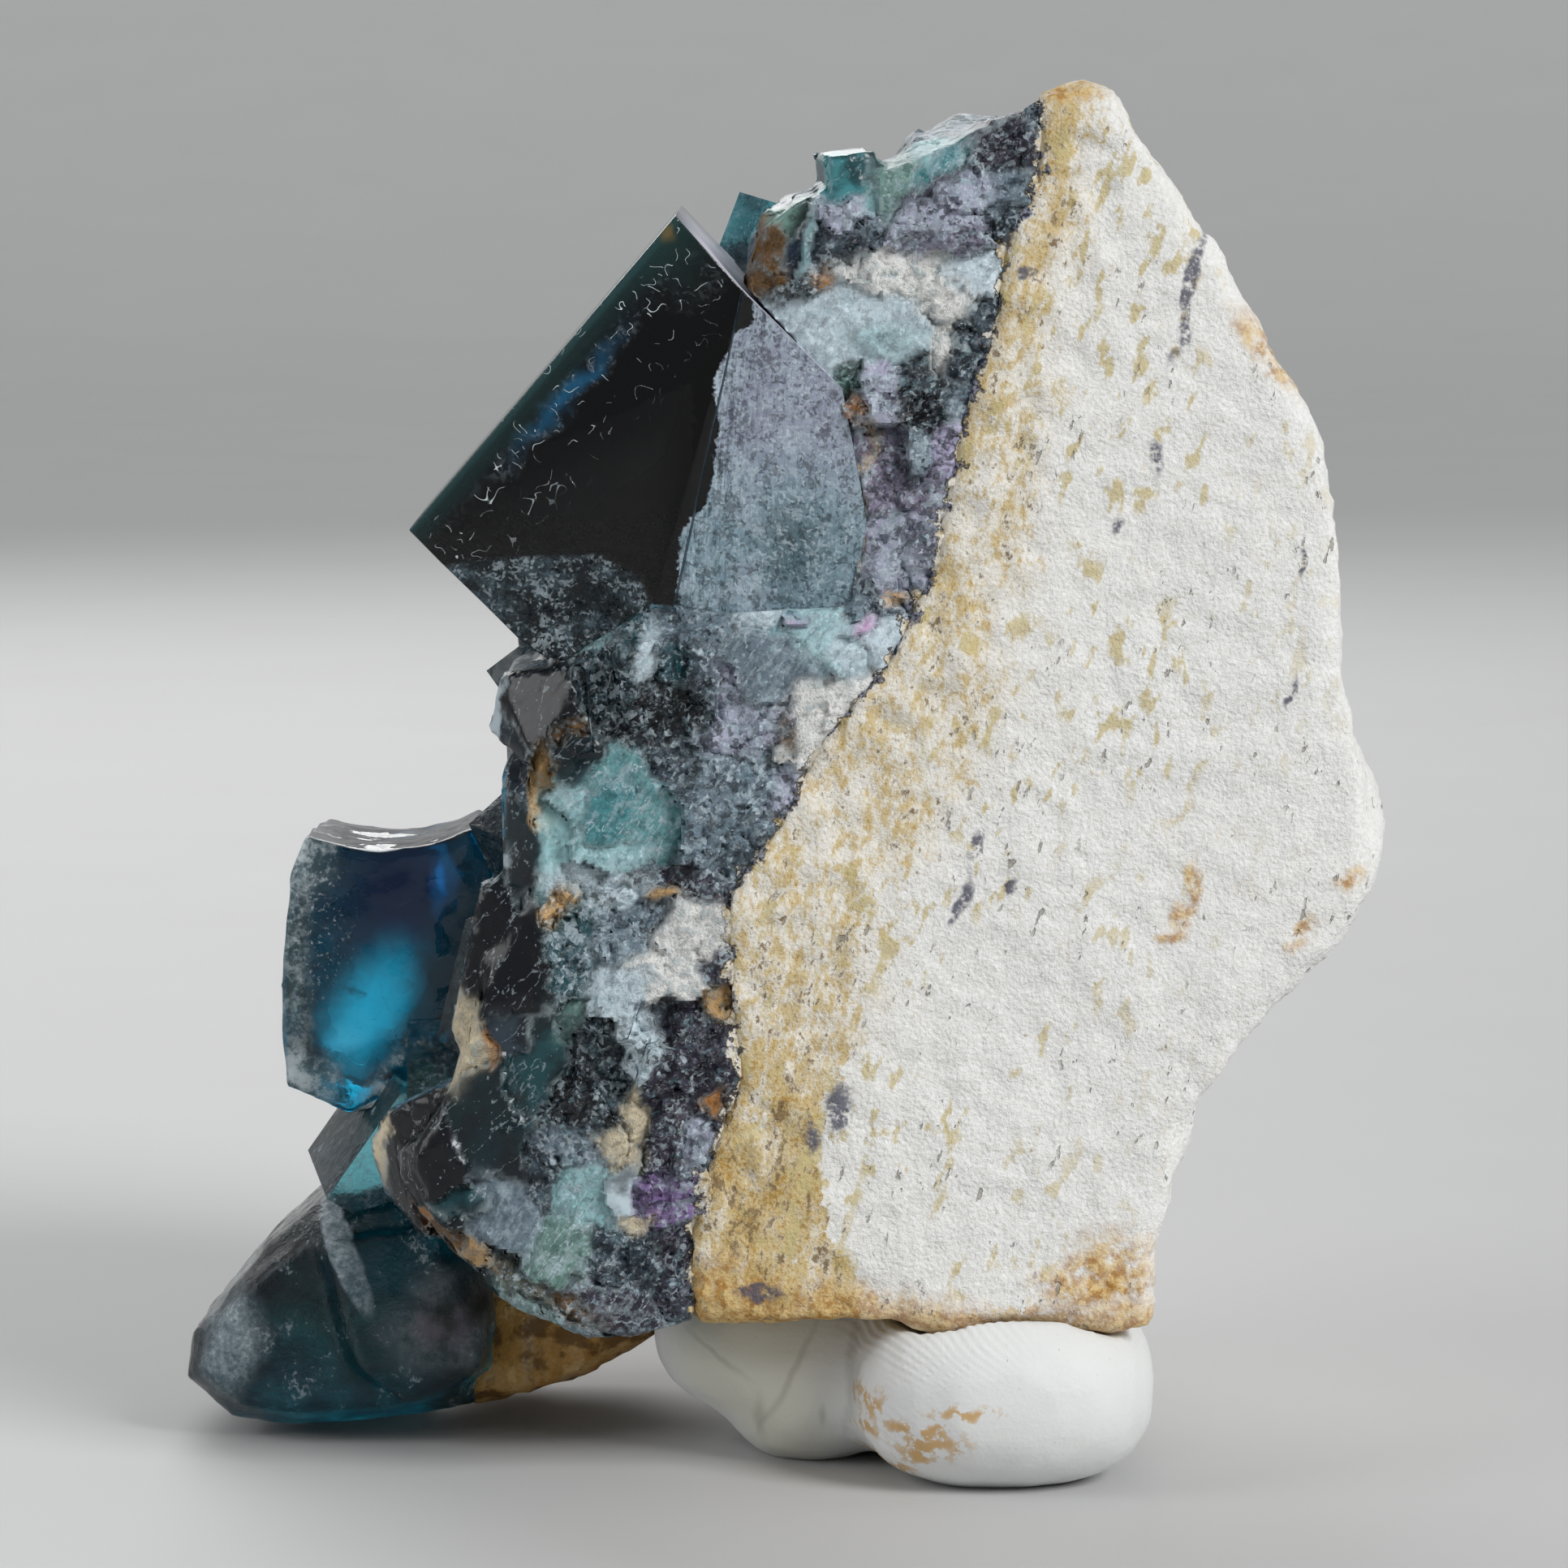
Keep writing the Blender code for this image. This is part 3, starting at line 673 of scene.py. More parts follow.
# %% Grains of the crust
TONES = {
    "ice": tone(196, 212, 220),
    "aqua": tone(144, 186, 190),
    "sea": tone(66, 130, 136),
    "fern": tone(98, 150, 154),
    "sage": tone(106, 140, 132),
    "teal": tone(22, 66, 72),
    "deep": tone(8, 32, 38),
    "night": tone(9, 13, 19),
    "navy": tone(10, 40, 66),
    "sky": tone(8, 132, 164),
    "plum": tone(46, 41, 56),
    "mauve": tone(120, 114, 134),
    "lilac": tone(180, 174, 202),
    "frost": tone(172, 208, 214),
    "violet": tone(126, 102, 150),
    "lavender": tone(160, 164, 182),
    "slate": tone(104, 120, 132),
    "smoke": tone(44, 56, 66),
    "chalk": tone(236, 236, 232),
    "cream": tone(222, 208, 178),
    "tan": tone(198, 160, 106),
    "rust": tone(180, 124, 62),
    "umber": tone(112, 82, 42),
    "moss": tone(84, 86, 74),
    "pink": tone(196, 152, 196),
}
# Middle x and y, half width and half height in pixels, degrees clockwise, tone and kind:
# g clear, s sugary, f fibrous, c chalky
GRAINS = [
    (935, 300, 34, 36, 35, "umber", "c"), (990, 350, 34, 14, 0, "night", "s"),
    (1024, 342, 10, 16, 0, "rust", "s"), (958, 268, 26, 26, -20, "sage", "g"),
    (966, 300, 30, 22, -20, "navy", "g"), (991, 300, 8, 32, 8, "aqua", "f"),
    (1045, 214, 24, 34, 8, "sea", "g"), (1072, 222, 13, 38, 4, "aqua", "g"),
    (1040, 264, 32, 16, 0, "lavender", "s"), (1078, 276, 22, 14, 0, "slate", "s"),
    (1032, 304, 40, 18, 0, "smoke", "s"), (1108, 220, 36, 46, 20, "sage", "f"),
    (1150, 172, 50, 22, -25, "aqua", "f"), (1166, 200, 60, 14, -34, "sea", "f"),
    (1144, 232, 66, 12, -34, "plum", "f"), (1215, 160, 34, 20, -34, "plum", "f"),
    (1240, 176, 34, 40, 0, "plum", "s"), (1266, 132, 26, 32, 0, "smoke", "s"),
    (1175, 248, 80, 34, -26, "lavender", "s"), (1246, 232, 26, 34, 0, "slate", "s"),
    (1168, 290, 50, 20, 0, "mauve", "s"), (1238, 278, 28, 28, 0, "smoke", "s"),
    (1105, 328, 70, 22, -6, "chalk", "c"), (1100, 330, 16, 9, 0, "aqua", "f"),
    (1200, 328, 34, 30, 0, "ice", "f"), (1166, 366, 34, 34, 0, "chalk", "c"),
    (1050, 402, 84, 46, 8, "ice", "f"), (1066, 410, 66, 34, 8, "frost", "f"),
    (1078, 446, 20, 10, 0, "lilac", "f"),
    (1160, 418, 18, 44, 0, "chalk", "c"), (1202, 400, 30, 36, 0, "smoke", "s"),
    (1186, 446, 20, 26, 0, "smoke", "s"), (1044, 460, 20, 18, 0, "sage", "s"),
    (1080, 476, 26, 40, 0, "lavender", "s"), (1134, 488, 52, 44, 24, "night", "s"),
    (1180, 506, 30, 30, 0, "slate", "s"), (1050, 496, 10, 16, 0, "rust", "s"),
    (1166, 540, 30, 26, 0, "lilac", "s"), (1122, 560, 20, 30, 0, "slate", "s"),
    (1140, 606, 28, 34, 0, "mauve", "s"), (1085, 580, 32, 50, 4, "mauve", "s"),
    (1058, 610, 8, 80, 3, "tan", "s"), (1086, 676, 32, 44, 0, "lavender", "s"),
    (1130, 660, 30, 34, 0, "lavender", "s"), (1078, 714, 9, 16, 0, "plum", "s"),
    (1102, 722, 15, 9, 0, "tan", "s"), (1040, 722, 40, 26, 0, "slate", "s"),
    (1140, 716, 24, 26, 0, "lavender", "s"), (930, 752, 40, 24, 10, "ice", "f"),
    (990, 772, 20, 12, 10, "pink", "f"), (1014, 784, 52, 34, 24, "frost", "f"),
    (1078, 772, 15, 14, 0, "pink", "f"), (1092, 784, 26, 24, 0, "ice", "f"),
    (1040, 800, 30, 26, 30, "ice", "f"), (946, 806, 60, 28, 28, "slate", "f"),
    (870, 770, 50, 28, 10, "slate", "s"), (795, 784, 11, 50, 8, "ice", "f"),
    (740, 770, 40, 26, -20, "teal", "s"), (727, 790, 20, 8, -10, "aqua", "g"),
    (738, 840, 46, 44, 0, "deep", "s"), (806, 872, 54, 40, -16, "night", "s"),
    (868, 822, 20, 46, 8, "smoke", "s"), (836, 812, 20, 40, 8, "teal", "s"),
    (895, 850, 16, 46, -16, "lavender", "s"), (672, 852, 52, 50, 0, "night", "g"),
    (706, 888, 20, 14, 0, "umber", "s"), (640, 788, 18, 24, 0, "ice", "g"),
    (616, 852, 9, 50, 14, "ice", "g"), (636, 940, 20, 54, -10, "smoke", "g"),
    (673, 955, 11, 56, 6, "tan", "c"), (714, 926, 28, 28, 0, "deep", "g"),
    (640, 1046, 22, 84, 0, "deep", "g"), (609, 976, 10, 46, 10, "sky", "f"),
    (594, 1070, 34, 8, -42, "ice", "f"), (920, 900, 56, 22, -10, "lavender", "s"),
    (962, 906, 14, 26, 0, "umber", "s"), (1030, 880, 84, 34, -30, "chalk", "c"),
    (880, 980, 76, 66, 30, "slate", "s"), (842, 940, 40, 30, 0, "smoke", "s"),
    (930, 1030, 50, 44, 0, "slate", "s"), (966, 985, 22, 34, 0, "lavender", "s"),
    (971, 1034, 15, 18, 0, "violet", "s"), (744, 994, 38, 36, 0, "sea", "f"),
    (802, 1000, 40, 50, 10, "fern", "f"), (752, 1046, 50, 16, 0, "aqua", "f"),
    (756, 950, 52, 20, 0, "fern", "f"), (700, 984, 16, 34, 0, "aqua", "f"),
    (680, 1030, 17, 66, 10, "aqua", "g"),
    (700, 1080, 40, 16, 0, "ice", "c"), (766, 1092, 46, 18, 0, "ice", "s"),
    (850, 1086, 56, 18, 10, "plum", "s"), (820, 1104, 18, 11, 0, "tan", "c"),
    (706, 1160, 28, 60, 0, "teal", "s"), (770, 1146, 46, 34, 0, "slate", "s"),
    (836, 1166, 64, 26, -20, "chalk", "c"), (880, 1192, 28, 22, 0, "plum", "s"),
    (760, 1210, 34, 32, 0, "ice", "c"), (820, 1216, 40, 26, 0, "chalk", "c"),
    (888, 1238, 34, 26, 0, "tan", "c"), (636, 1176, 46, 90, 6, "night", "g"),
    (690, 1110, 14, 30, 0, "tan", "s"), (562, 1294, 46, 34, -28, "cream", "c"),
    (606, 1288, 9, 26, 0, "rust", "c"), (634, 1270, 30, 26, -20, "smoke", "g"),
    (664, 1310, 22, 60, 6, "teal", "g"), (704, 1254, 9, 34, 36, "sage", "f"),
    (708, 1350, 44, 42, 0, "night", "s"), (748, 1322, 30, 40, 0, "deep", "s"),
    (786, 1296, 28, 36, 0, "ice", "s"), (784, 1374, 14, 46, 0, "cream", "c"),
    (844, 1322, 58, 84, 10, "plum", "s"), (882, 1366, 13, 22, 0, "rust", "c"),
    (868, 1408, 20, 24, 0, "lavender", "s"), (520, 1424, 38, 66, -4, "night", "g"),
    (598, 1402, 38, 78, -12, "deep", "g"), (460, 1412, 10, 34, 0, "cream", "g"),
    (556, 1484, 46, 13, 10, "teal", "g"), (622, 1496, 28, 62, -34, "slate", "f"),
    (662, 1446, 24, 38, 0, "smoke", "s"), (712, 1424, 36, 30, 0, "slate", "s"),
    (716, 1474, 44, 38, 30, "aqua", "f"), (744, 1422, 22, 20, 0, "cream", "c"),
    (768, 1470, 18, 22, 0, "ice", "g"), (826, 1478, 32, 24, 0, "violet", "s"),
    (790, 1500, 18, 10, 0, "cream", "c"), (686, 1540, 36, 36, 30, "sage", "f"),
    (764, 1548, 48, 34, 10, "smoke", "s"), (830, 1556, 24, 42, 0, "plum", "s"),
    (518, 1502, 18, 9, 44, "rust", "c"), (550, 1530, 20, 9, 36, "umber", "c"),
    (584, 1552, 20, 8, 34, "tan", "c"), (640, 1578, 40, 11, 28, "moss", "s"),
    (690, 1598, 34, 10, 26, "umber", "s"), (744, 1606, 56, 14, 22, "plum", "f"),
]
SOFT_BORDER = 0.15                        # mm over which one grain fades into the next


def wobble(places, size, amount):
    """The same places pushed about by noise, so that straight borders turn ragged."""
    moved = [noise.noise_vector(Vector(place) / size) for place in places]
    return places + np.array(moved) * amount


class Mosaic:
    """Which grain each point is in, its neighbour, and how far in mm the border is."""

    def __init__(self, places):
        here = wobble(wobble(wobble(places, 4.5, 1.1), 1.4, 0.65), 0.5, 0.28)
        best = np.full(len(places), 1e9)
        second = best.copy()
        self.grain = np.zeros(len(places), int)
        self.next = self.grain.copy()
        for index, (px, py, wide, tall, angle, _, _) in enumerate(GRAINS):
            x, z = on_face(px, py)
            turn = math.radians(angle)
            across, up = here[:, 0] - x, here[:, 2] - z
            first = (across * math.cos(turn) - up * math.sin(turn)) / size_of(wide)
            last = (across * math.sin(turn) + up * math.cos(turn)) / size_of(tall)
            reach = np.hypot(first, last)
            nearer = reach < best
            between = (reach < second) & ~nearer
            second = np.where(nearer, best, np.where(between, reach, second))
            best = np.where(nearer, reach, best)
            self.next = np.where(nearer, self.grain, np.where(between, index, self.next))
            self.grain[nearer] = index
        sizes = np.array([size_of(min(wide, tall)) for _, _, wide, tall, *_ in GRAINS])
        self.inside = (second - best) * sizes[self.grain] * 0.5
        self.kinds = np.array([grain[6] for grain in GRAINS])[self.grain]
        self.middle = np.array([on_face(*grain[:2]) for grain in GRAINS])[self.grain]
        self.share = 0.5 * np.exp(-self.inside / SOFT_BORDER)[:, None]

    def blend(self, of_grain):
        """A value for each grain, blended softly with the neighbour's near a border."""
        of_grain = np.asarray(of_grain, float)
        own, other = of_grain[self.grain], of_grain[self.next]
        return own * (1.0 - self.share) + other * self.share


def write_colour(piece, name, values):
    """Stores four numbers for every point, to be read by the material."""
    layer = piece.data.color_attributes.new(name, "FLOAT_COLOR", "POINT")
    layer.data.foreach_set("color", np.asarray(values, float).ravel())


print("grains", len(GRAINS))

# %% [markdown]
# Each grain also breaks in its own way. Clear ones cleave to tilted flats, sugary ones stay
# lumpy and chalky ones are rough, so the same table shapes the surface before it colours it.

# %% Crust surface
def facet_height(place, size, seed):
    """Height of a surface of tilted flats, about -0.5 to 0.5, for a place in mm."""
    scaled = place / size + Vector((seed, seed * 1.7, seed * 0.3))
    centre = noise.voronoi(scaled)[1][0]
    tilt = noise.cell_vector(centre * 7.0) - Vector((0.5, 0.5, 0.5))
    return (scaled - centre).dot(tilt) * 2.0


def crust_heights(places, mosaic, front):
    """Relief of the crust in mm: a tilt for each grain, then facets, lumps or roughness."""
    draw = np.random.default_rng(SEED)
    lift = draw.uniform(-0.5, 0.7, len(GRAINS))[mosaic.grain]
    lift = np.where(mosaic.kinds == "f", lift * 0.4, lift)
    tilt = draw.uniform(-0.16, 0.16, (len(GRAINS), 2))[mosaic.grain]
    offset = places[:, [0, 2]] - mosaic.middle
    flat = lift + np.clip((offset * tilt).sum(1), -0.9, 0.9)
    sugary = np.where(mosaic.kinds == "s", 1.0, np.where(mosaic.kinds == "c", 0.8, 0.10))
    lumps = [facet_height(Vector(p), 1.7, 3.0) * 0.55 + facet_height(Vector(p), 0.7, 8.0) * 0.26
             for p in places]
    dip = np.clip(1.0 - mosaic.inside / 0.3, 0.0, 1.0) * 0.16
    side = np.array([facet_height(Vector(p), 4.0, 5.0) * 0.25 for p in places])
    return np.where(front, flat + np.array(lumps) * sugary - dip, side)


BROKEN_EDGE = FRONT_Y + 2.5               # mm; how far back the broken face turns a corner
BROKEN_DEPTH = 6.5                        # mm more where the surface looks to the front

crust = copy_node("fluorite_crust", "sugary_crust")
combine(crust, "DIFFERENCE", sockets)
new_skin(crust, 0.75)
refine(crust, 6.5, 2)
crust_places, crust_normals = arrays(crust)
mosaic = Mosaic(crust_places)
broken_to = BROKEN_EDGE + BROKEN_DEPTH * np.clip(-crust_normals[:, 1] * 2.5, 0.0, 1.0)
in_front = crust_places[:, 1] < broken_to
forward = np.zeros_like(crust_normals)
forward[:, 1] = -np.clip(-crust_normals[:, 1] * 1.4, 0.0, 1.0)
ways = np.where(in_front[:, None], forward, crust_normals)
heights = crust_heights(crust_places, mosaic, in_front)
write_places(crust, crust_places + ways * heights[:, None])
crust_places, crust_normals = arrays(crust)
close_gap(crust_places, crust_normals, 1.0, in_front)
write_places(crust, crust_places)
smooth_shade(crust, 50.0)
print("crust skin", len(crust.data.polygons))

# %% [markdown]
# The material reads a grain's tone and kind from the mesh and adds what is smaller than the mesh
# can hold: painted glints and painted shade on the flats of the sugar, fibres in the milky aqua
# with painted highlight and shade, painted shade in the chalk's crevices, a few pale veins, and
# thin seams where two grains meet.

# %% Crust colour
FLUORITE_INDEX = 1.434                    # fluorite's index of refraction


def facets(paint, place, size):
    """Height in mm of small tilted flats, for a bump, and each flat's random colour."""
    cell = paint.node("ShaderNodeTexVoronoi", {"feature": "F1"},
                      {"Vector": place, "Scale": 1.0 / size})
    local = paint.vector("SUBTRACT", place, cell.outputs["Position"])[0]
    tilt = paint.vector("SUBTRACT", cell.outputs["Color"], (0.5, 0.5, 0.5))[0]
    height = Value(paint, paint.vector("DOT_PRODUCT", local, tilt)["Value"])
    return height, cell.outputs["Color"]


def sugar(paint, place, tint, amount=1.0, size=1.0):
    """Colour and height of a sugary mass: small flats, some in painted light and some in painted
    shade.
    """
    ragged = paint.warped(place, 0.8, 0.35)
    middling, middling_colour = facets(paint, ragged, 0.80 * size)
    small, small_colour = facets(paint, ragged, 0.34 * size)
    small_light, small_dim, _ = paint.split(small_colour)
    wide_light, wide_dim, _ = paint.split(middling_colour)
    clouds = (paint.noise(place, 2.0, 4.0, 0.62) - 0.5) * 1.5
    # painted shade and painted highlight: darker and paler copies of the tint on random flats
    shadow = paint.mix(0.74, tint, TONES["night"])
    light = paint.mix(0.60, tint, TONES["ice"])
    dim = (small_dim * 0.6 + wide_dim * 0.4 - clouds).step(0.50, 0.76)
    bright = (small_light * 0.6 + wide_light * 0.3 + clouds).step(0.54, 0.78)
    colour = paint.mix(dim * 0.88 * amount, tint, shadow)
    colour = paint.mix(bright * 0.92 * amount, colour, light)
    return colour, (middling + small) * amount


def crust_material():
    paint = Paint("sugary_fluorite")
    place = paint.place()
    x, _, z = paint.split(place)
    grain = paint.node("ShaderNodeAttribute", {"attribute_name": "grain_tone"})
    kind = paint.node("ShaderNodeAttribute", {"attribute_name": "grain_kind"})
    seam = Value(paint, grain.outputs["Alpha"])
    clear, sugary, fibrous = paint.split(kind.outputs["Color"])
    front = Value(paint, kind.outputs["Alpha"])
    chalky = (1.0 - clear - sugary - fibrous).at_least(0.0)

    clouds = paint.noise(place, 2.6, 4.0, 0.6)
    mottle = paint.noise(place, 0.9, 5.0, 0.7)
    fibres = paint.noise(paint.turned(place, (0.0, 28.0, 0.0), (1.0, 1.0, 4.0)), 0.42, 4.0, 0.65)
    dust = paint.noise(place, 0.25, 2.0)

    milky = 1.0 - clear
    tint = grain.outputs["Color"]
    tint = paint.mix((mottle - clouds * 0.35).step(0.30, 0.42) * milky * 0.35, tint,
                     TONES["slate"])
    tint = paint.mix(mottle.step(0.56, 0.66) * milky * 0.30, tint, TONES["aqua"])
    # painted highlight and painted shade: paler and darker copies of the tint for fibres and
    # crevices
    shadow = paint.mix(0.75, tint, TONES["deep"])
    light = paint.mix(0.5, tint, TONES["ice"])
    broken, lumps = sugar(paint, place, tint, sugary + fibrous * 0.45 + chalky * 0.15)
    colour = paint.mix(fibrous * (fibres + mottle * 0.8).step(0.88, 1.10) * 0.55, broken, light)
    colour = paint.mix(fibrous * (fibres * 0.5 + mottle * 0.6).step(0.52, 0.42) * 0.55, colour,
                       shadow)
    colour = paint.mix(clear * clouds.step(0.42, 0.62) * 0.75, colour, TONES["night"])
    veins = (paint.noise(paint.turned(place, (0.0, 38.0, 0.0), (1.0, 1.0, 2.6)), 2.2, 3.0)
             - 0.5).size().step(0.012, 0.003) * dust.step(0.40, 0.60)
    vein_share = veins * (fibrous * 0.55 + clear * 0.30 + sugary * 0.20)
    colour = paint.mix(vein_share, colour, TONES["ice"])
    # painted shade in the crevices of the chalky grains
    colour = paint.mix(chalky * (mottle + dust * 0.3).step(0.60, 0.50) * 0.55, colour, shadow)
    # painted glints: pale specks on the sugary and clear grains
    painted_glint = dust.step(0.68, 0.73)
    colour = paint.mix(painted_glint * (sugary * 0.5 + clear * 0.3), colour, TONES["ice"])
    seam_share = seam * (clouds * 2.4 + mottle - 1.35).at_least(0.0).at_most(0.8)
    colour = paint.mix(seam_share, colour, tone(150, 164, 168))

    border = crumbly(paint, place, past(paint, CONTACT, x, z))
    sandy = border.step(-0.15, 0.10) * front
    colour = paint.mix(sandy, colour, sand(paint, place, sandy * 0.62))
    # painted shade of the crack along the contact: a dark, broken line
    crack_shade = border.size().step(0.20, 0.05) * front * clouds.step(0.35, 0.55)
    colour = paint.mix(crack_shade * 0.8, colour, tone(58, 46, 36))

    side = paint.mix(clouds.step(0.4, 0.6), TONES["teal"], TONES["slate"])
    side, side_lumps = sugar(paint, place, side, 0.8)
    colour = paint.mix(front, side, colour)

    height = lumps * 0.9 + fibres * fibrous * 0.10 + dust * (1.0 - clear * 0.8) * 0.06
    height = height + clouds * clear * 0.05 + mottle * chalky * 0.7 + sandy * mottle * 0.5
    rough = 0.26 + sugary * 0.16 + chalky * 0.5 + fibrous * 0.12 + sandy * 0.3
    surface = paint.solid(Base_Color=colour, Roughness=rough, Normal=paint.bump(height, 0.8),
                          IOR=FLUORITE_INDEX)
    return paint.end(surface)


tones = mosaic.blend([TONES[grain[5]] for grain in GRAINS])
kinds = mosaic.blend([[grain[6] == kind for kind in "gsf"] for grain in GRAINS])
seams = np.clip(1.0 - mosaic.inside / 0.16, 0.0, 1.0)
write_colour(crust, "grain_tone", np.column_stack([tones, seams]))
front_share = np.clip((broken_to - crust_places[:, 1]) / 1.5, 0.0, 1.0)
write_colour(crust, "grain_kind", np.column_stack([kinds, front_share]))
dress(crust, crust_material(), "fluorite_crust", "fluorite_crust")

# %% [markdown]
# ## Clear fluorite
# Clear fluorite bends light less than most gems: its index is 1.434. Its colour comes from
# depth, since light loses red on its way through. So every clear piece has plain transmission
# with an absorbing inside, and its thin edges come out pale while its middle goes dark. Broken
# and etched places scatter light, and there a second, opaque shader is mixed in by a mask.

# %% Clear crystal finish
def clear_crystal(paint, veil, veil_colour, normal, rough, absorbed, density,
                  tint=(1.0, 1.0, 1.0, 1.0)):
    """Glass with absorption; veil is the share of an opaque frosted surface."""
    glass = paint.solid(Base_Color=tint, Roughness=rough, IOR=FLUORITE_INDEX,
                        Transmission_Weight=1.0, Normal=normal)
    frosted = paint.solid(Base_Color=veil_colour, Roughness=0.42, IOR=FLUORITE_INDEX,
                          Normal=normal)
    surface = paint.node("ShaderNodeMixShader", None, [veil, glass, frosted]).outputs[0]
    volume = paint.node("ShaderNodeVolumeAbsorption", None,
                        {"Color": (*absorbed, 1.0), "Density": density}).outputs[0]
    return paint.end(surface, volume)


def outward(paint):
    """The surface's own direction, as X, Y and Z parts."""
    return paint.split(paint.node("ShaderNodeTexCoord").outputs["Normal"])


def hooks(paint, place, size, shift):
    """Short curved etch lines: bits of a noise field's contour, kept where another is high."""
    moved = paint.turned(place, centre=(shift, shift * 2.0, -shift))
    line = (paint.noise(moved, size, 1.0) - 0.5).size().step(0.009, 0.003)
    return line * paint.noise(moved, size * 0.62, 0.0).step(0.61, 0.65)


# %% [markdown]
# The large cube shows three finishes on its front. The left of it is clear, with a dark middle,
# a teal rim of painted glow and short etch marks along the edge, and a blue band that is partly
# its own colour zone and partly painted glow. A cleaved slab at the right is frosted, with
# painted highlight and painted shade on its small flats, and the foot is chipped. Each finish is
# a mask by place on the face and by the way the surface points, so the cube's other sides stay
# clear; of these, the faces that point up and to the right carry a pale painted highlight.

# %% Large cube's finish
SLAB_EDGE = [
    (944, 330), (929, 358), (927, 395), (905, 410), (888, 449), (878, 478), (888, 499),
    (882, 540), (878, 582), (871, 619), (855, 631), (838, 656), (834, 698), (838, 760),
]
SLAB_TOP = 352.0                          # pixel row where the cleaved slab begins
CHIP_TOP = 640.0                          # pixel row above which nothing is chipped
CUBE_TIP = on_face(838, 262)
EDGE_WAY = (0.758, -0.653)                # from the long upper left edge into the face


def row_step(z, row, rows):
    """0 above a pixel row of the face, 1 some rows below it."""
    return z.step(on_face(0, row)[1], on_face(0, row + rows)[1])


def cube_material():
    paint = Paint("deep_teal_fluorite")
    place = paint.place()
    x, y, z = paint.split(place)
    out_x, out_y, out_z = outward(paint)
    to_front = out_y.step(-0.55, -0.85)
    sunk = (y - (FRONT_Y - 0.6)).step(0.12, 0.3) * to_front
    mottle = paint.noise(place, 1.1, 5.0, 0.7)
    edge = past(paint, SLAB_EDGE, x, z) + (mottle - 0.5) * 1.4
    slab = edge.step(-0.05, 0.08) * row_step(z, SLAB_TOP, 14.0) * to_front
    chip = sunk * (1.0 - slab) * row_step(z, CHIP_TOP, 12.0)
    plain = to_front * (1.0 - slab) * (1.0 - chip)

    streaky = paint.noise(paint.turned(place, (0.0, 6.0, 0.0), (1.0, 1.0, 6.0)), 0.36, 4.0, 0.7)
    clouds = paint.noise(place, 3.5, 3.0)
    near_edge = edge.step(3.2, 0.8)
    tint = paint.mix(row_step(z, 520.0, 110.0), tone(142, 148, 166), tone(122, 148, 160))
    tint = paint.mix(clouds.step(0.46, 0.62) * 0.5, tint, tone(160, 172, 186))
    tint = paint.mix(streaky.step(0.42, 0.62) * (0.15 + near_edge * 0.65), tint,
                     tone(176, 194, 206))
    tint = paint.mix(streaky.step(0.46, 0.36) * (0.25 + near_edge * 0.3), tint, tone(50, 66, 78))
    ragged = paint.warped(place, 2.4, 1.1)
    tint = paint.mix(face_spot(paint, ragged, 978, 668, 40, 52, 10, 0.8) * 0.7, tint,
                     tone(44, 74, 82))
    chip_tint = paint.mix((mottle + clouds * 0.8).step(0.84, 1.06), tone(13, 28, 33),
                          tone(72, 92, 102))
    tint = paint.mix(slab, chip_tint, tint)
    frosted, lumps = sugar(paint, place, tint, 1.0 - slab * 0.15, 0.62)

    marks = (hooks(paint, place, 1.3, 3.0) + hooks(paint, place, 1.9, 11.0)).at_most(1.0)
    edge_level = CUBE_TIP[0] * EDGE_WAY[0] + CUBE_TIP[1] * EDGE_WAY[1]
    inward = x * EDGE_WAY[0] + z * EDGE_WAY[1] - edge_level
    etched = marks * inward.step(8.0, 3.5) * plain
    # painted glow: a teal band and rim along the long upper left edge, where light comes through
    painted_glow = inward.step(2.4, 0.2)
    rim = inward.step(0.6, 0.1)

    # blue band: partly the crystal's own blue zone, partly painted glow of that zone
    blue = face_spot(paint, ragged, 702, 482, 12, 86, 41, 0.95) * plain
    teal_corner = face_spot(paint, ragged, 838, 300, 44, 50, 0, 0.9) * plain
    painted_edge_glow = (painted_glow * 0.22 + rim * 0.30) * plain
    veil_colour = paint.mix(painted_edge_glow.step(0.0, 0.15), frosted, tone(44, 84, 86))
    veil_colour = paint.mix(teal_corner, veil_colour, tone(26, 62, 60))
    stained_tip = face_spot(paint, ragged, 824, 282, 10, 9, 0, 0.8) * plain
    veil_colour = paint.mix(stained_tip, veil_colour, tone(94, 82, 48))
    veil_colour = paint.mix(blue, veil_colour, tone(4, 82, 118))
    veil_colour = paint.mix(etched, veil_colour, tone(206, 216, 220))
    hidden = 1.0 - to_front
    # painted highlight: faces that do not look to the front but point up and to the right are
    # painted pale
    painted_highlight_top_right = out_x.step(0.5, 0.7) * hidden * out_z.step(0.3, 0.5)
    veil_colour = paint.mix(hidden, veil_colour, tone(14, 58, 70))
    veil_colour = paint.mix(painted_highlight_top_right, veil_colour, tone(196, 196, 208))
    veil = hidden * 0.25 + slab * 0.94 + chip * (0.50 + mottle * 0.5) + etched * 0.8
    veil = veil + blue * 0.75 + teal_corner * 0.3 + stained_tip * 0.3 + painted_edge_glow
    veil = (veil + painted_highlight_top_right * 0.75).at_most(1.0)

    height = lumps * (slab * 0.7 + chip * 0.8) + streaky * slab * 0.2 + etched * -0.1
    normal = paint.bump(height + clouds * 0.03, 0.6)
    return clear_crystal(paint, veil, veil_colour, normal, 0.03, (0.0, 0.42, 0.52), 460.0)


# %% [markdown]
# Its shape needs three touches. The solid has a straight step between the clear part and the
# slab, so the step's two ends move until it follows the slab's ragged edge. The right half
# grows a little to close the gap to the crust, and the edges get a small worn bevel.

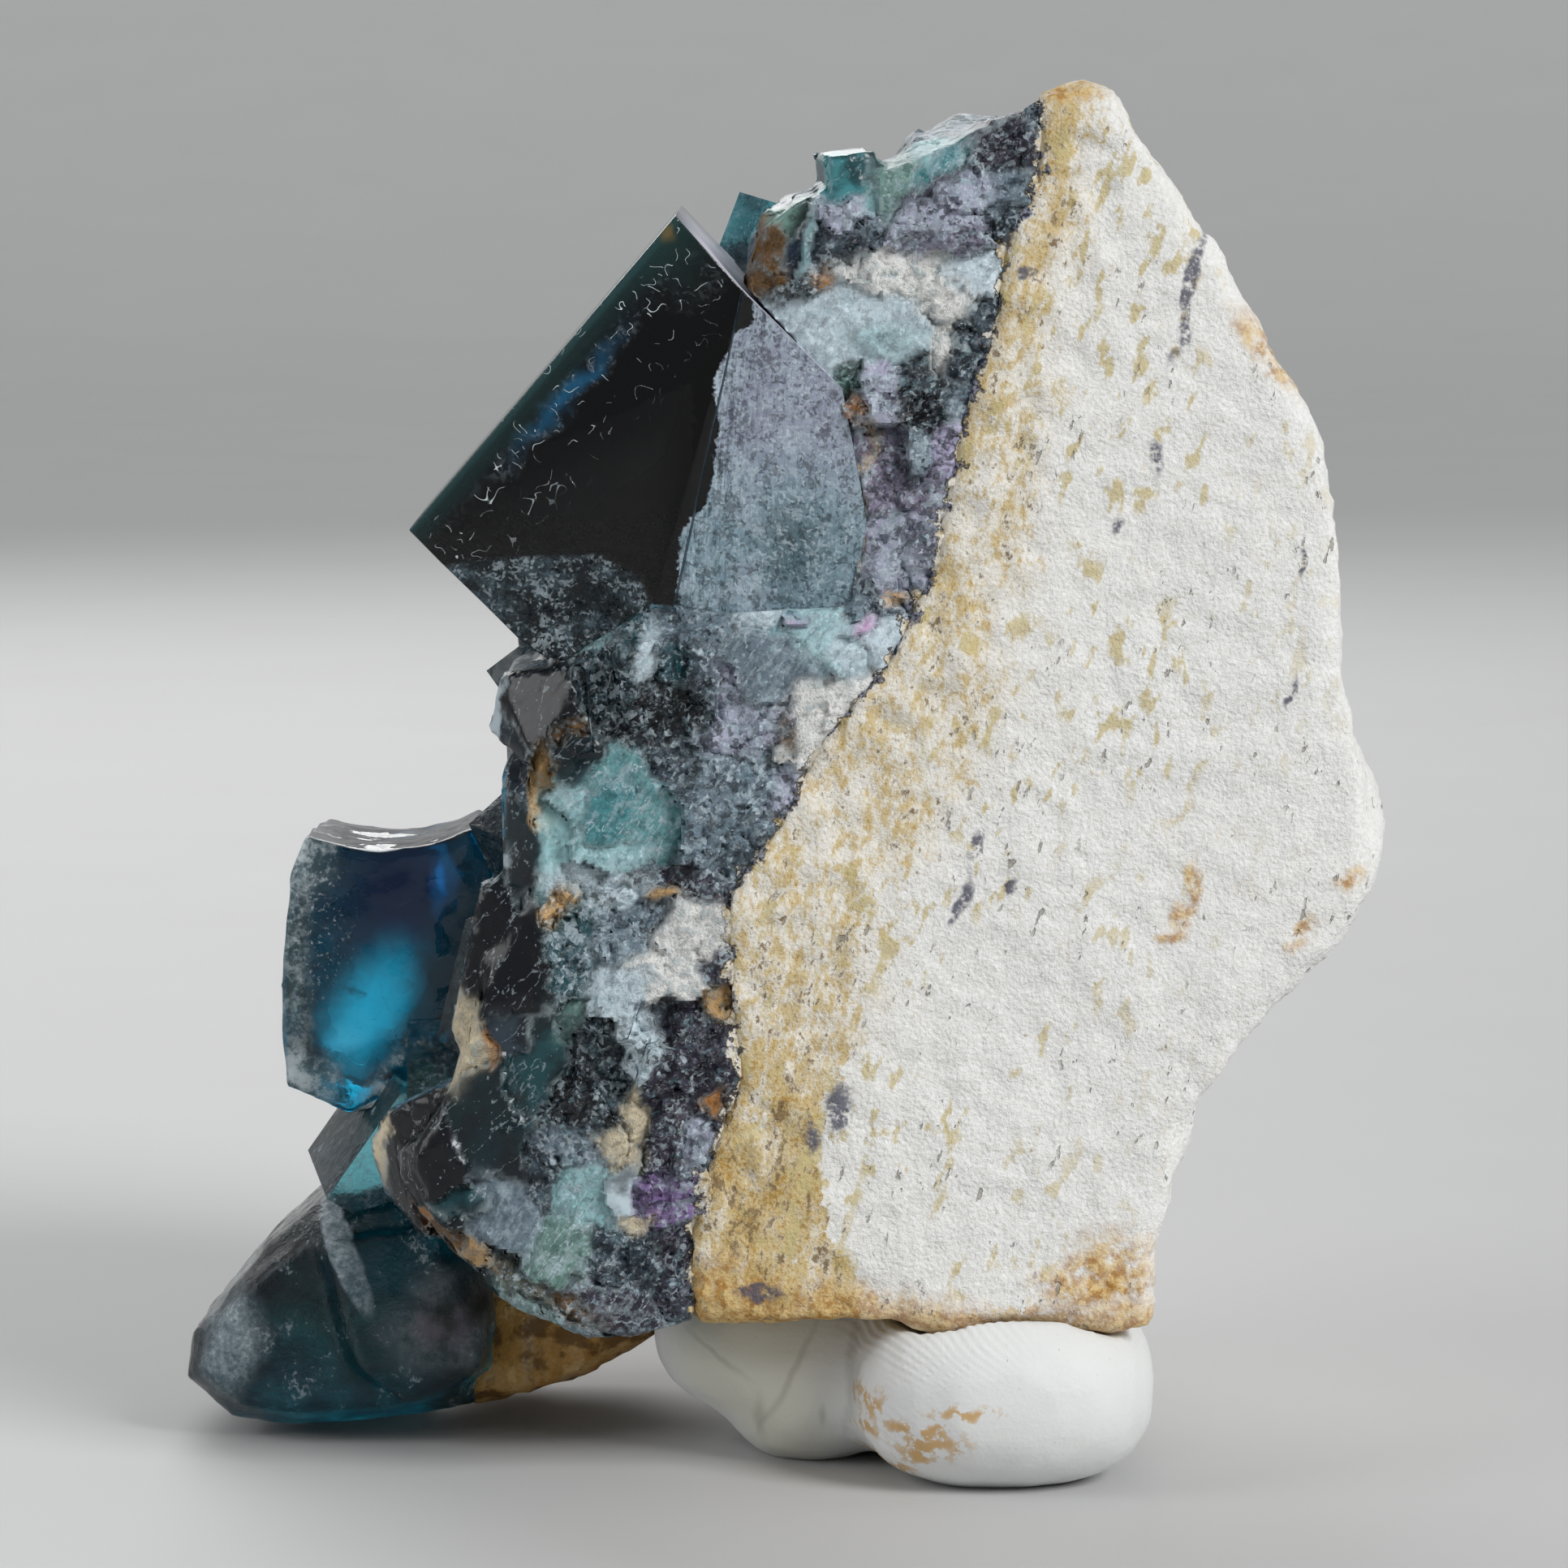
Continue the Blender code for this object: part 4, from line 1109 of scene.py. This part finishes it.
# %% Large cube
STEP_ENDS = [((886, 322), (915, 354)), ((854, 741), (828, 737))]    # from and to, in pixels
STEP_REACH = 0.3                          # mm; what lies this near to an end moves with it
STEP_DEPTH = 5.0                          # mm; how far back the step goes
CUBE_MIDDLE = (800, 560)                  # pixel of the face that the right half grows from
CUBE_SLANT = 0.6                          # lean of the line through it that parts the halves
CUBE_GROWTH = CLOSE_GAP * 1.7             # mm


def arm_from(vert, px, py):
    """From a place on the face to a vertex, in mm, without the depth."""
    x, z = on_face(px, py)
    return Vector((vert.co.x / MM - x, 0.0, vert.co.z / MM - z))


large_cube = copy_node("large_cube_crystal", "large_cube")
edit(large_cube, bpy.ops.mesh.dissolve_limited, angle_limit=math.radians(2.0))
for old_end, new_end in STEP_ENDS:
    way = Vector((new_end[0] - old_end[0], 0.0, old_end[1] - new_end[1])) * FACE_SCALE
    for vert in large_cube.data.vertices:
        in_step = vert.co.y / MM < FRONT_Y + STEP_DEPTH
        if in_step and arm_from(vert, *old_end).length < STEP_REACH:
            vert.co += way * MM
            print("step end moved to pixel", new_end)
for vert in large_cube.data.vertices:
    arm = arm_from(vert, *CUBE_MIDDLE)
    if arm.x > arm.z * CUBE_SLANT:
        vert.co += arm.normalized() * CUBE_GROWTH * MM
bevel(large_cube, 0.28 * MM)
smooth_shade(large_cube, 30.0)
dress(large_cube, cube_material(), "dark_crystal", "large_cube_crystal")

# %% [markdown]
# The blue crystal stands alone with thin horned corners, so more light gets through and it
# glows; that glow at its foot is painted into its tint as a bright cyan patch. Etching and wear
# have rounded its edges, so its copy gets a new skin that is smoothed a few times and pushed
# about by soft clouds.

# %% Blue crystal
def spots(paint, vector, rows):
    """One mask for each row: place and half sizes in pixels, angle clockwise, softness."""
    return [face_spot(paint, vector, *row) for row in rows]


def tinted(paint, vector, tint, rows):
    """A tint with spots of other colours; each row ends with its share and its colour."""
    for *row, share, colour in rows:
        tint = paint.mix(face_spot(paint, vector, *row) * share, tint, tone(*colour))
    return tint


# Frost on the blue crystal: left edge, top, upper corner, foot, base and dots
BLUE_FROST = [
    (340, 1210, 14, 190, 0, 0.9), (505, 1048, 80, 17, -8, 0.6), (360, 1085, 24, 44, 0, 0.8),
    (356, 1376, 38, 24, 20, 0.7), (492, 1366, 74, 26, -42, 0.6), (372, 1170, 34, 90, 0, 0.8),
]
# Painted glow at the foot: a bright cyan patch in the tint
BLUE_PAINTED_GLOW = (428, 1306, 42, 78, 30, 0.75)
# Tints: a pale cyan core of the painted glow, a dark band at the right and a blue streak
BLUE_TINTS = [
    (400, 1340, 26, 24, 30, 0.6, 0.8, (176, 232, 255)),
    (542, 1240, 40, 140, 12, 0.8, 1.0, (14, 42, 50)),
    (524, 1132, 9, 28, 0, 0.8, 0.9, (40, 150, 225)),
]


def blue_material():
    paint = Paint("blue_fluorite")
    place = paint.place()
    ragged = paint.warped(place, 2.0, 0.7)
    speckle = paint.noise(place, 0.4, 4.0, 0.7)
    clouds = paint.noise(place, 1.8, 4.0)
    flats, _ = facets(paint, ragged, 2.2)
    left, top, corner, foot, base, dots = spots(paint, ragged, BLUE_FROST)
    frost = left * 0.45 + top * 0.75 + corner * 0.6 + foot * 0.75
    frost = frost + base * clouds.step(0.42, 0.56) * 0.75 + dots * speckle.step(0.56, 0.64) * 0.6
    frost = frost * (0.45 + (speckle + clouds).step(0.85, 1.10) * 0.75)
    frost = frost * (0.15 + outward(paint)[1].step(0.1, -0.5) * 0.85 + top * 0.6)
    frost = (frost + speckle.step(0.72, 0.77) * 0.3).at_most(0.92)
    colour = paint.mix((speckle * 0.4 + clouds * 0.6).step(0.38, 0.62), tone(128, 160, 166),
                       tone(208, 220, 224))
    tint = paint.mix(clouds.step(0.4, 0.6), tone(18, 66, 78), tone(30, 88, 104))
    tint = paint.mix(face_spot(paint, ragged, 472, 1150, 84, 92, 16, 0.8), tint, tone(8, 34, 64))
    # painted glow: bright cyan where light shines through
    painted_glow = face_spot(paint, ragged, *BLUE_PAINTED_GLOW) * (0.75 + clouds * 0.4).at_most(1.0)
    tint = paint.mix(painted_glow, tint, tone(70, 214, 240))
    tint = tinted(paint, ragged, tint, BLUE_TINTS)
    normal = paint.bump(flats * 0.25 + speckle * frost * 0.12, 0.4)
    return clear_crystal(paint, frost, colour, normal, 0.04, (0.0, 0.78, 0.88), 150.0, tint)


def worn_copy(node, name, cell, rounds):
    """A copy of a solid with a new skin, rounded by some rounds of smoothing."""
    piece = new_skin(copy_node(node, name), cell)
    return modify(piece, "SMOOTH", factor=0.5, iterations=rounds)


blue = worn_copy("blue_crystal", "blue_crystal_skin", 0.4, 4)
push(blue, texture("CLOUDS", 4.0, noise_depth=1), 0.5)
smooth_shade(blue)
dress(blue, blue_material(), "blue_crystal", "blue_crystal")

# %% [markdown]
# The lower crystals are worn the same way. They are darker, their left end and one ridge are
# frosted white, and rock dust makes their right end muddy.

# %% Lower crystals
# Frost: left end, upper rim, and mud at the right; the ridge has a straighter border
LOWER_FROST = [
    (256, 1722, 36, 62, 14, 0.45), (296, 1560, 12, 96, 42, 0.7), (540, 1680, 70, 46, -20, 0.7),
]
LOWER_RIDGE = (404, 1600, 17, 78, -24, 0.2)
# Tints inside: green at the bottom, a clear blue-green that is painted glow, dark at the upper
# left
LOWER_TINTS = [
    (440, 1700, 120, 40, 0, 0.8, 0.6, (50, 160, 150)),
    (458, 1610, 46, 60, -20, 0.8, 0.8, (34, 140, 156)),
    (340, 1560, 70, 90, 30, 0.8, 0.8, (8, 26, 40)),
]


def lower_material():
    paint = Paint("teal_fluorite")
    place = paint.place()
    ragged = paint.warped(place, 2.0, 0.9)
    speckle = paint.noise(place, 0.4, 4.0, 0.7)
    clouds = paint.noise(place, 3.0, 4.0)
    flats, _ = facets(paint, ragged, 1.8)
    end, rim, muddy = spots(paint, ragged, LOWER_FROST)
    ridge = face_spot(paint, paint.warped(place, 2.0, 0.4), *LOWER_RIDGE)
    frost = end * 0.72 + rim * 0.5 + ridge * 0.78 + muddy * 0.85
    frost = frost * (0.25 + outward(paint)[1].step(0.2, -0.4) * 0.75)
    frost = (frost + (clouds + speckle - 1.0).step(0.10, 0.3) * 0.5).at_most(0.92)
    colour = paint.mix((speckle * 0.5 + clouds * 0.5).step(0.38, 0.62), tone(84, 108, 118),
                       tone(168, 182, 190))
    colour = paint.mix(muddy, colour, paint.mix(clouds.step(0.4, 0.6), tone(40, 46, 46),
                                                tone(92, 88, 96)))
    tint = paint.mix(clouds.step(0.4, 0.65), tone(16, 52, 66), tone(64, 128, 136))
    tint = tinted(paint, ragged, tint, LOWER_TINTS)
    normal = paint.bump(flats * 0.3 + speckle * 0.2, 0.5)
    return clear_crystal(paint, frost, colour, normal, 0.08, (0.0, 0.60, 0.66), 140.0, tint)


lower = worn_copy("lower_crystals", "lower_crystals_skin", 0.5, 5)
push(lower, texture("CLOUDS", 3.0, noise_depth=2), 0.5)
smooth_shade(lower)
dress(lower, lower_material(), "teal_crystal", "lower_crystals")

# %% [markdown]
# The grown cubes of the display side were shaped before the crust. Now they get small bevels
# and a finish of their own: dark clear glass under a patchy skin of frost and a little rust.

# %% Finish of the grown cubes
def grown_material():
    paint = Paint("grown_fluorite")
    place = paint.place()
    speckle = paint.noise(place, 0.5, 4.0, 0.7)
    clouds = paint.noise(place, 4.0, 4.0)
    frost = 0.10 + ((clouds - 0.5) * 0.9 + (speckle - 0.5) * 0.8).step(0.04, 0.36) * 0.6
    colour = paint.mix(speckle.step(0.4, 0.65), tone(44, 72, 82), tone(150, 172, 182))
    stain = paint.noise(place, 2.4, 4.0, 0.7).step(0.62, 0.74)
    colour = paint.mix(stain, colour, tone(160, 128, 84))
    flats, _ = facets(paint, paint.warped(place, 1.6, 0.6), 2.4)
    normal = paint.bump(clouds * 0.12 + speckle * 0.16 + flats * 0.3, 0.5)
    return clear_crystal(paint, (frost + stain * 0.5).at_most(0.9), colour, normal, 0.12,
                         (0.0, 0.72, 0.80), 170.0)


bevel(grown, 0.3 * MM)
smooth_shade(grown, 30.0)
dress(grown, grown_material(), "teal_crystal", "fluorite_crust")

# %% [markdown]
# ## The putty
# A pressed lump of white putty holds the stone upright. Fingers left a furrow, creases and fine
# skin ridges about half a millimetre apart, and ochre crumbs of the rock stick to it. The
# creases are not shaped; they are darker lines of painted shade.

# %% Putty
RIDGE_SPACING = 0.52                      # mm from one skin ridge to the next
OCHRE_MARKS = [
    (1070, 1735, 16, 20, 0), (1072, 1772, 14, 14, 0), (1108, 1762, 22, 9, 0),
    (1146, 1760, 16, 7, 0), (1190, 1738, 44, 8, 0), (1134, 1794, 30, 12, 0),
    (1100, 1820, 34, 9, 6), (1150, 1778, 46, 14, 0),
]
# Creases: not shaped, only darker ovals of painted shade; place and half sizes in pixels, angle
CREASE_SHADES = [
    (972, 1730, 4, 78, 27), (936, 1788, 6, 26, -8), (1018, 1778, 4, 12, 0),
    (1052, 1720, 5, 60, 4), (880, 1700, 3, 40, -50),
]
# Where fingers left ridges: middle and half sizes in pixels, and strength
PRINTS = [(1150, 1650, 150, 70, 1.0), (1085, 1770, 50, 50, 0.8)]
PUTTY_FRONT = 11.0                        # mm that the front lobes reach behind the broken face


def finger_ridges(place):
    """Height in mm of skin ridges on the pressed front lobe, and soft dents all over."""
    dents = noise.noise(place / 6.0) * 0.22 + noise.noise(place / 2.2) * 0.05
    if place.y > FRONT_Y + PUTTY_FRONT:
        return dents
    fade = 0.0
    for px, py, wide, tall, strength in PRINTS:
        x, z = on_face(px, py)
        away = math.hypot((place.x - x) / size_of(wide), (place.z - z) / size_of(tall))
        fade = max(fade, strength * (1.0 - away))
    bend = Vector((place.x - 2.0, 0.0, place.z + 4.0)).length + noise.noise(place / 4.0) * 0.6
    return dents + math.sin(bend * math.tau / RIDGE_SPACING) * 0.05 * min(1.0, fade * 2.0)


def putty_material():
    paint = Paint("white_putty")
    place = paint.place()
    x, y, _ = paint.split(place)
    front = y.step(FRONT_Y + 14.0, FRONT_Y + 8.0)
    clouds = paint.noise(place, 5.0, 4.0)
    crumbs = paint.noise(place, 0.9, 4.0, 0.7)
    dots = paint.noise(place, 0.35, 2.0)
    colour = paint.mix(clouds, tone(214, 216, 215), tone(228, 229, 228))
    left_lobe = x.step(on_face(1060, 0)[0], on_face(960, 0)[0]) * front
    colour = paint.mix(left_lobe * 0.8, colour, tone(206, 204, 188))
    ragged = paint.warped(place, 1.6, 1.2)
    for px, py, wide, tall, angle in OCHRE_MARKS:
        mark = face_spot(paint, ragged, px, py, wide, tall, angle, 0.7) * front
        colour = paint.mix(mark * (crumbs + mark * 0.16).step(0.54, 0.64) * 0.9, colour,
                           tone(198, 158, 96))
    bent = paint.warped(place, 4.0, 0.7)
    # painted shade along the creases
    for px, py, wide, tall, angle in CREASE_SHADES:
        crease_shade = face_spot(paint, bent, px, py, wide, tall, angle, 0.9)
        colour = paint.mix(crease_shade * front * 0.30, colour, tone(124, 120, 106))
    colour = paint.mix(dots.step(0.72, 0.78) * 0.6, colour, tone(150, 148, 142))
    grime = (1.0 - front) * crumbs.step(0.58, 0.7) * 0.35
    colour = paint.mix(grime, colour, tone(196, 184, 160))
    normal = paint.bump(crumbs * 0.4 + dots * 0.2, 0.12)
    surface = paint.solid(Base_Color=colour, Roughness=0.62, Normal=normal,
                          Subsurface_Weight=0.12, Subsurface_Radius=(0.0012, 0.001, 0.0008))
    return paint.end(surface)


putty = worn_copy("putty_rest", "putty_lump", 0.6, 5)
refine(putty, PUTTY_FRONT, 2, above=3.0)
putty_places, putty_normals = arrays(putty)
ridges = np.array([finger_ridges(Vector(place)) for place in putty_places])
write_places(putty, putty_places + putty_normals * ridges[:, None])
smooth_shade(putty)
dress(putty, putty_material(), "putty", "putty_rest")

# %% [markdown]
# ## Floor, light and camera
# The specimen stands on a plain pale floor that curves up behind it. A broad, soft sun from the
# upper right rakes the rock. Three square lights help it: one beside the sun, one at the left
# that puts a gleam on the crystals, and one behind. The camera looks six degrees downward, as
# in the photograph, from half a metre.

# %% Floor and light
bpy.ops.object.select_all(action="DESELECT")
bpy.ops.mesh.primitive_plane_add(size=6.0, location=(0.0, 0.0, 0.0))
floor = bpy.context.active_object
floor.name = "floor"


def is_back(edge):
    return all(floor.data.vertices[i].co.y > 2.0 for i in edge.vertices)


edit(floor, bpy.ops.mesh.extrude_region_move, kind="EDGE", wanted=is_back,
     TRANSFORM_OT_translate={"value": (0.0, 0.0, 4.0)})
bevel(floor, 1.6, segments=24, angle=60.0)
smooth_shade(floor)
floor_paint = Paint("pale_floor")
floor_tone = floor_paint.mix(floor_paint.noise(floor_paint.place(), 40.0), tone(192, 192, 191),
                             tone(197, 197, 197))
floor.data.materials.append(floor_paint.end(floor_paint.solid(Base_Color=floor_tone,
                                                              Roughness=0.6)))

world = bpy.data.worlds.new("pale_room")
world.use_nodes = True
background = world.node_tree.nodes["Background"]
background.inputs["Color"].default_value = (0.86, 0.88, 0.90, 1.0)
background.inputs["Strength"].default_value = 0.31
bpy.context.scene.world = world
MIDDLE = Vector((0.0, 0.0, 0.045))        # what every light is turned toward, in metres


def light(name, kind, place, power):
    """A light at a place in metres, turned toward the specimen."""
    bpy.ops.object.light_add(type=kind, location=place)
    made = bpy.context.active_object
    made.name = name
    made.data.energy = power
    made.rotation_euler = (MIDDLE - Vector(place)).to_track_quat("-Z", "Y").to_euler()
    return made.data


light("window", "AREA", (0.50, -0.45, 0.40), 1.2).size = 0.30
light("left", "AREA", (-0.60, -0.20, 0.35), 1.5).size = 0.40
light("back", "AREA", (-0.15, 0.60, 0.45), 2.0).size = 0.50
light("key", "SUN", (1.0, -0.9, 0.9), 1.75).angle = math.radians(25.0)
bpy.context.scene.view_settings.view_transform = "Standard"

# %% [markdown]
# The lens is worked out from the photograph's width in pixels and the scale of the subject, so
# the picture has the photograph's frame.

# %% Camera
TILT = math.radians(6.0)
CAMERA_DISTANCE = 0.5
PHOTO_SIZE = 1932.0
PHOTO_SCALE = 0.055 * MM                  # metres of the subject for one pixel
SENSOR = 36.0
target = drawn(0.0, -20.0, 47.5) * MM
bpy.ops.object.camera_add(location=target - CAMERA_DISTANCE * Vector(
    (0.0, math.cos(TILT), -math.sin(TILT))))
camera = bpy.context.active_object
camera.rotation_euler = (math.radians(90.0) - TILT, 0.0, 0.0)
camera.data.sensor_width = SENSOR
camera.data.lens = SENSOR * CAMERA_DISTANCE / (PHOTO_SIZE * PHOTO_SCALE)
camera.data.clip_start = 0.01
bpy.context.scene.camera = camera
print("lens", round(camera.data.lens, 1), "mm")
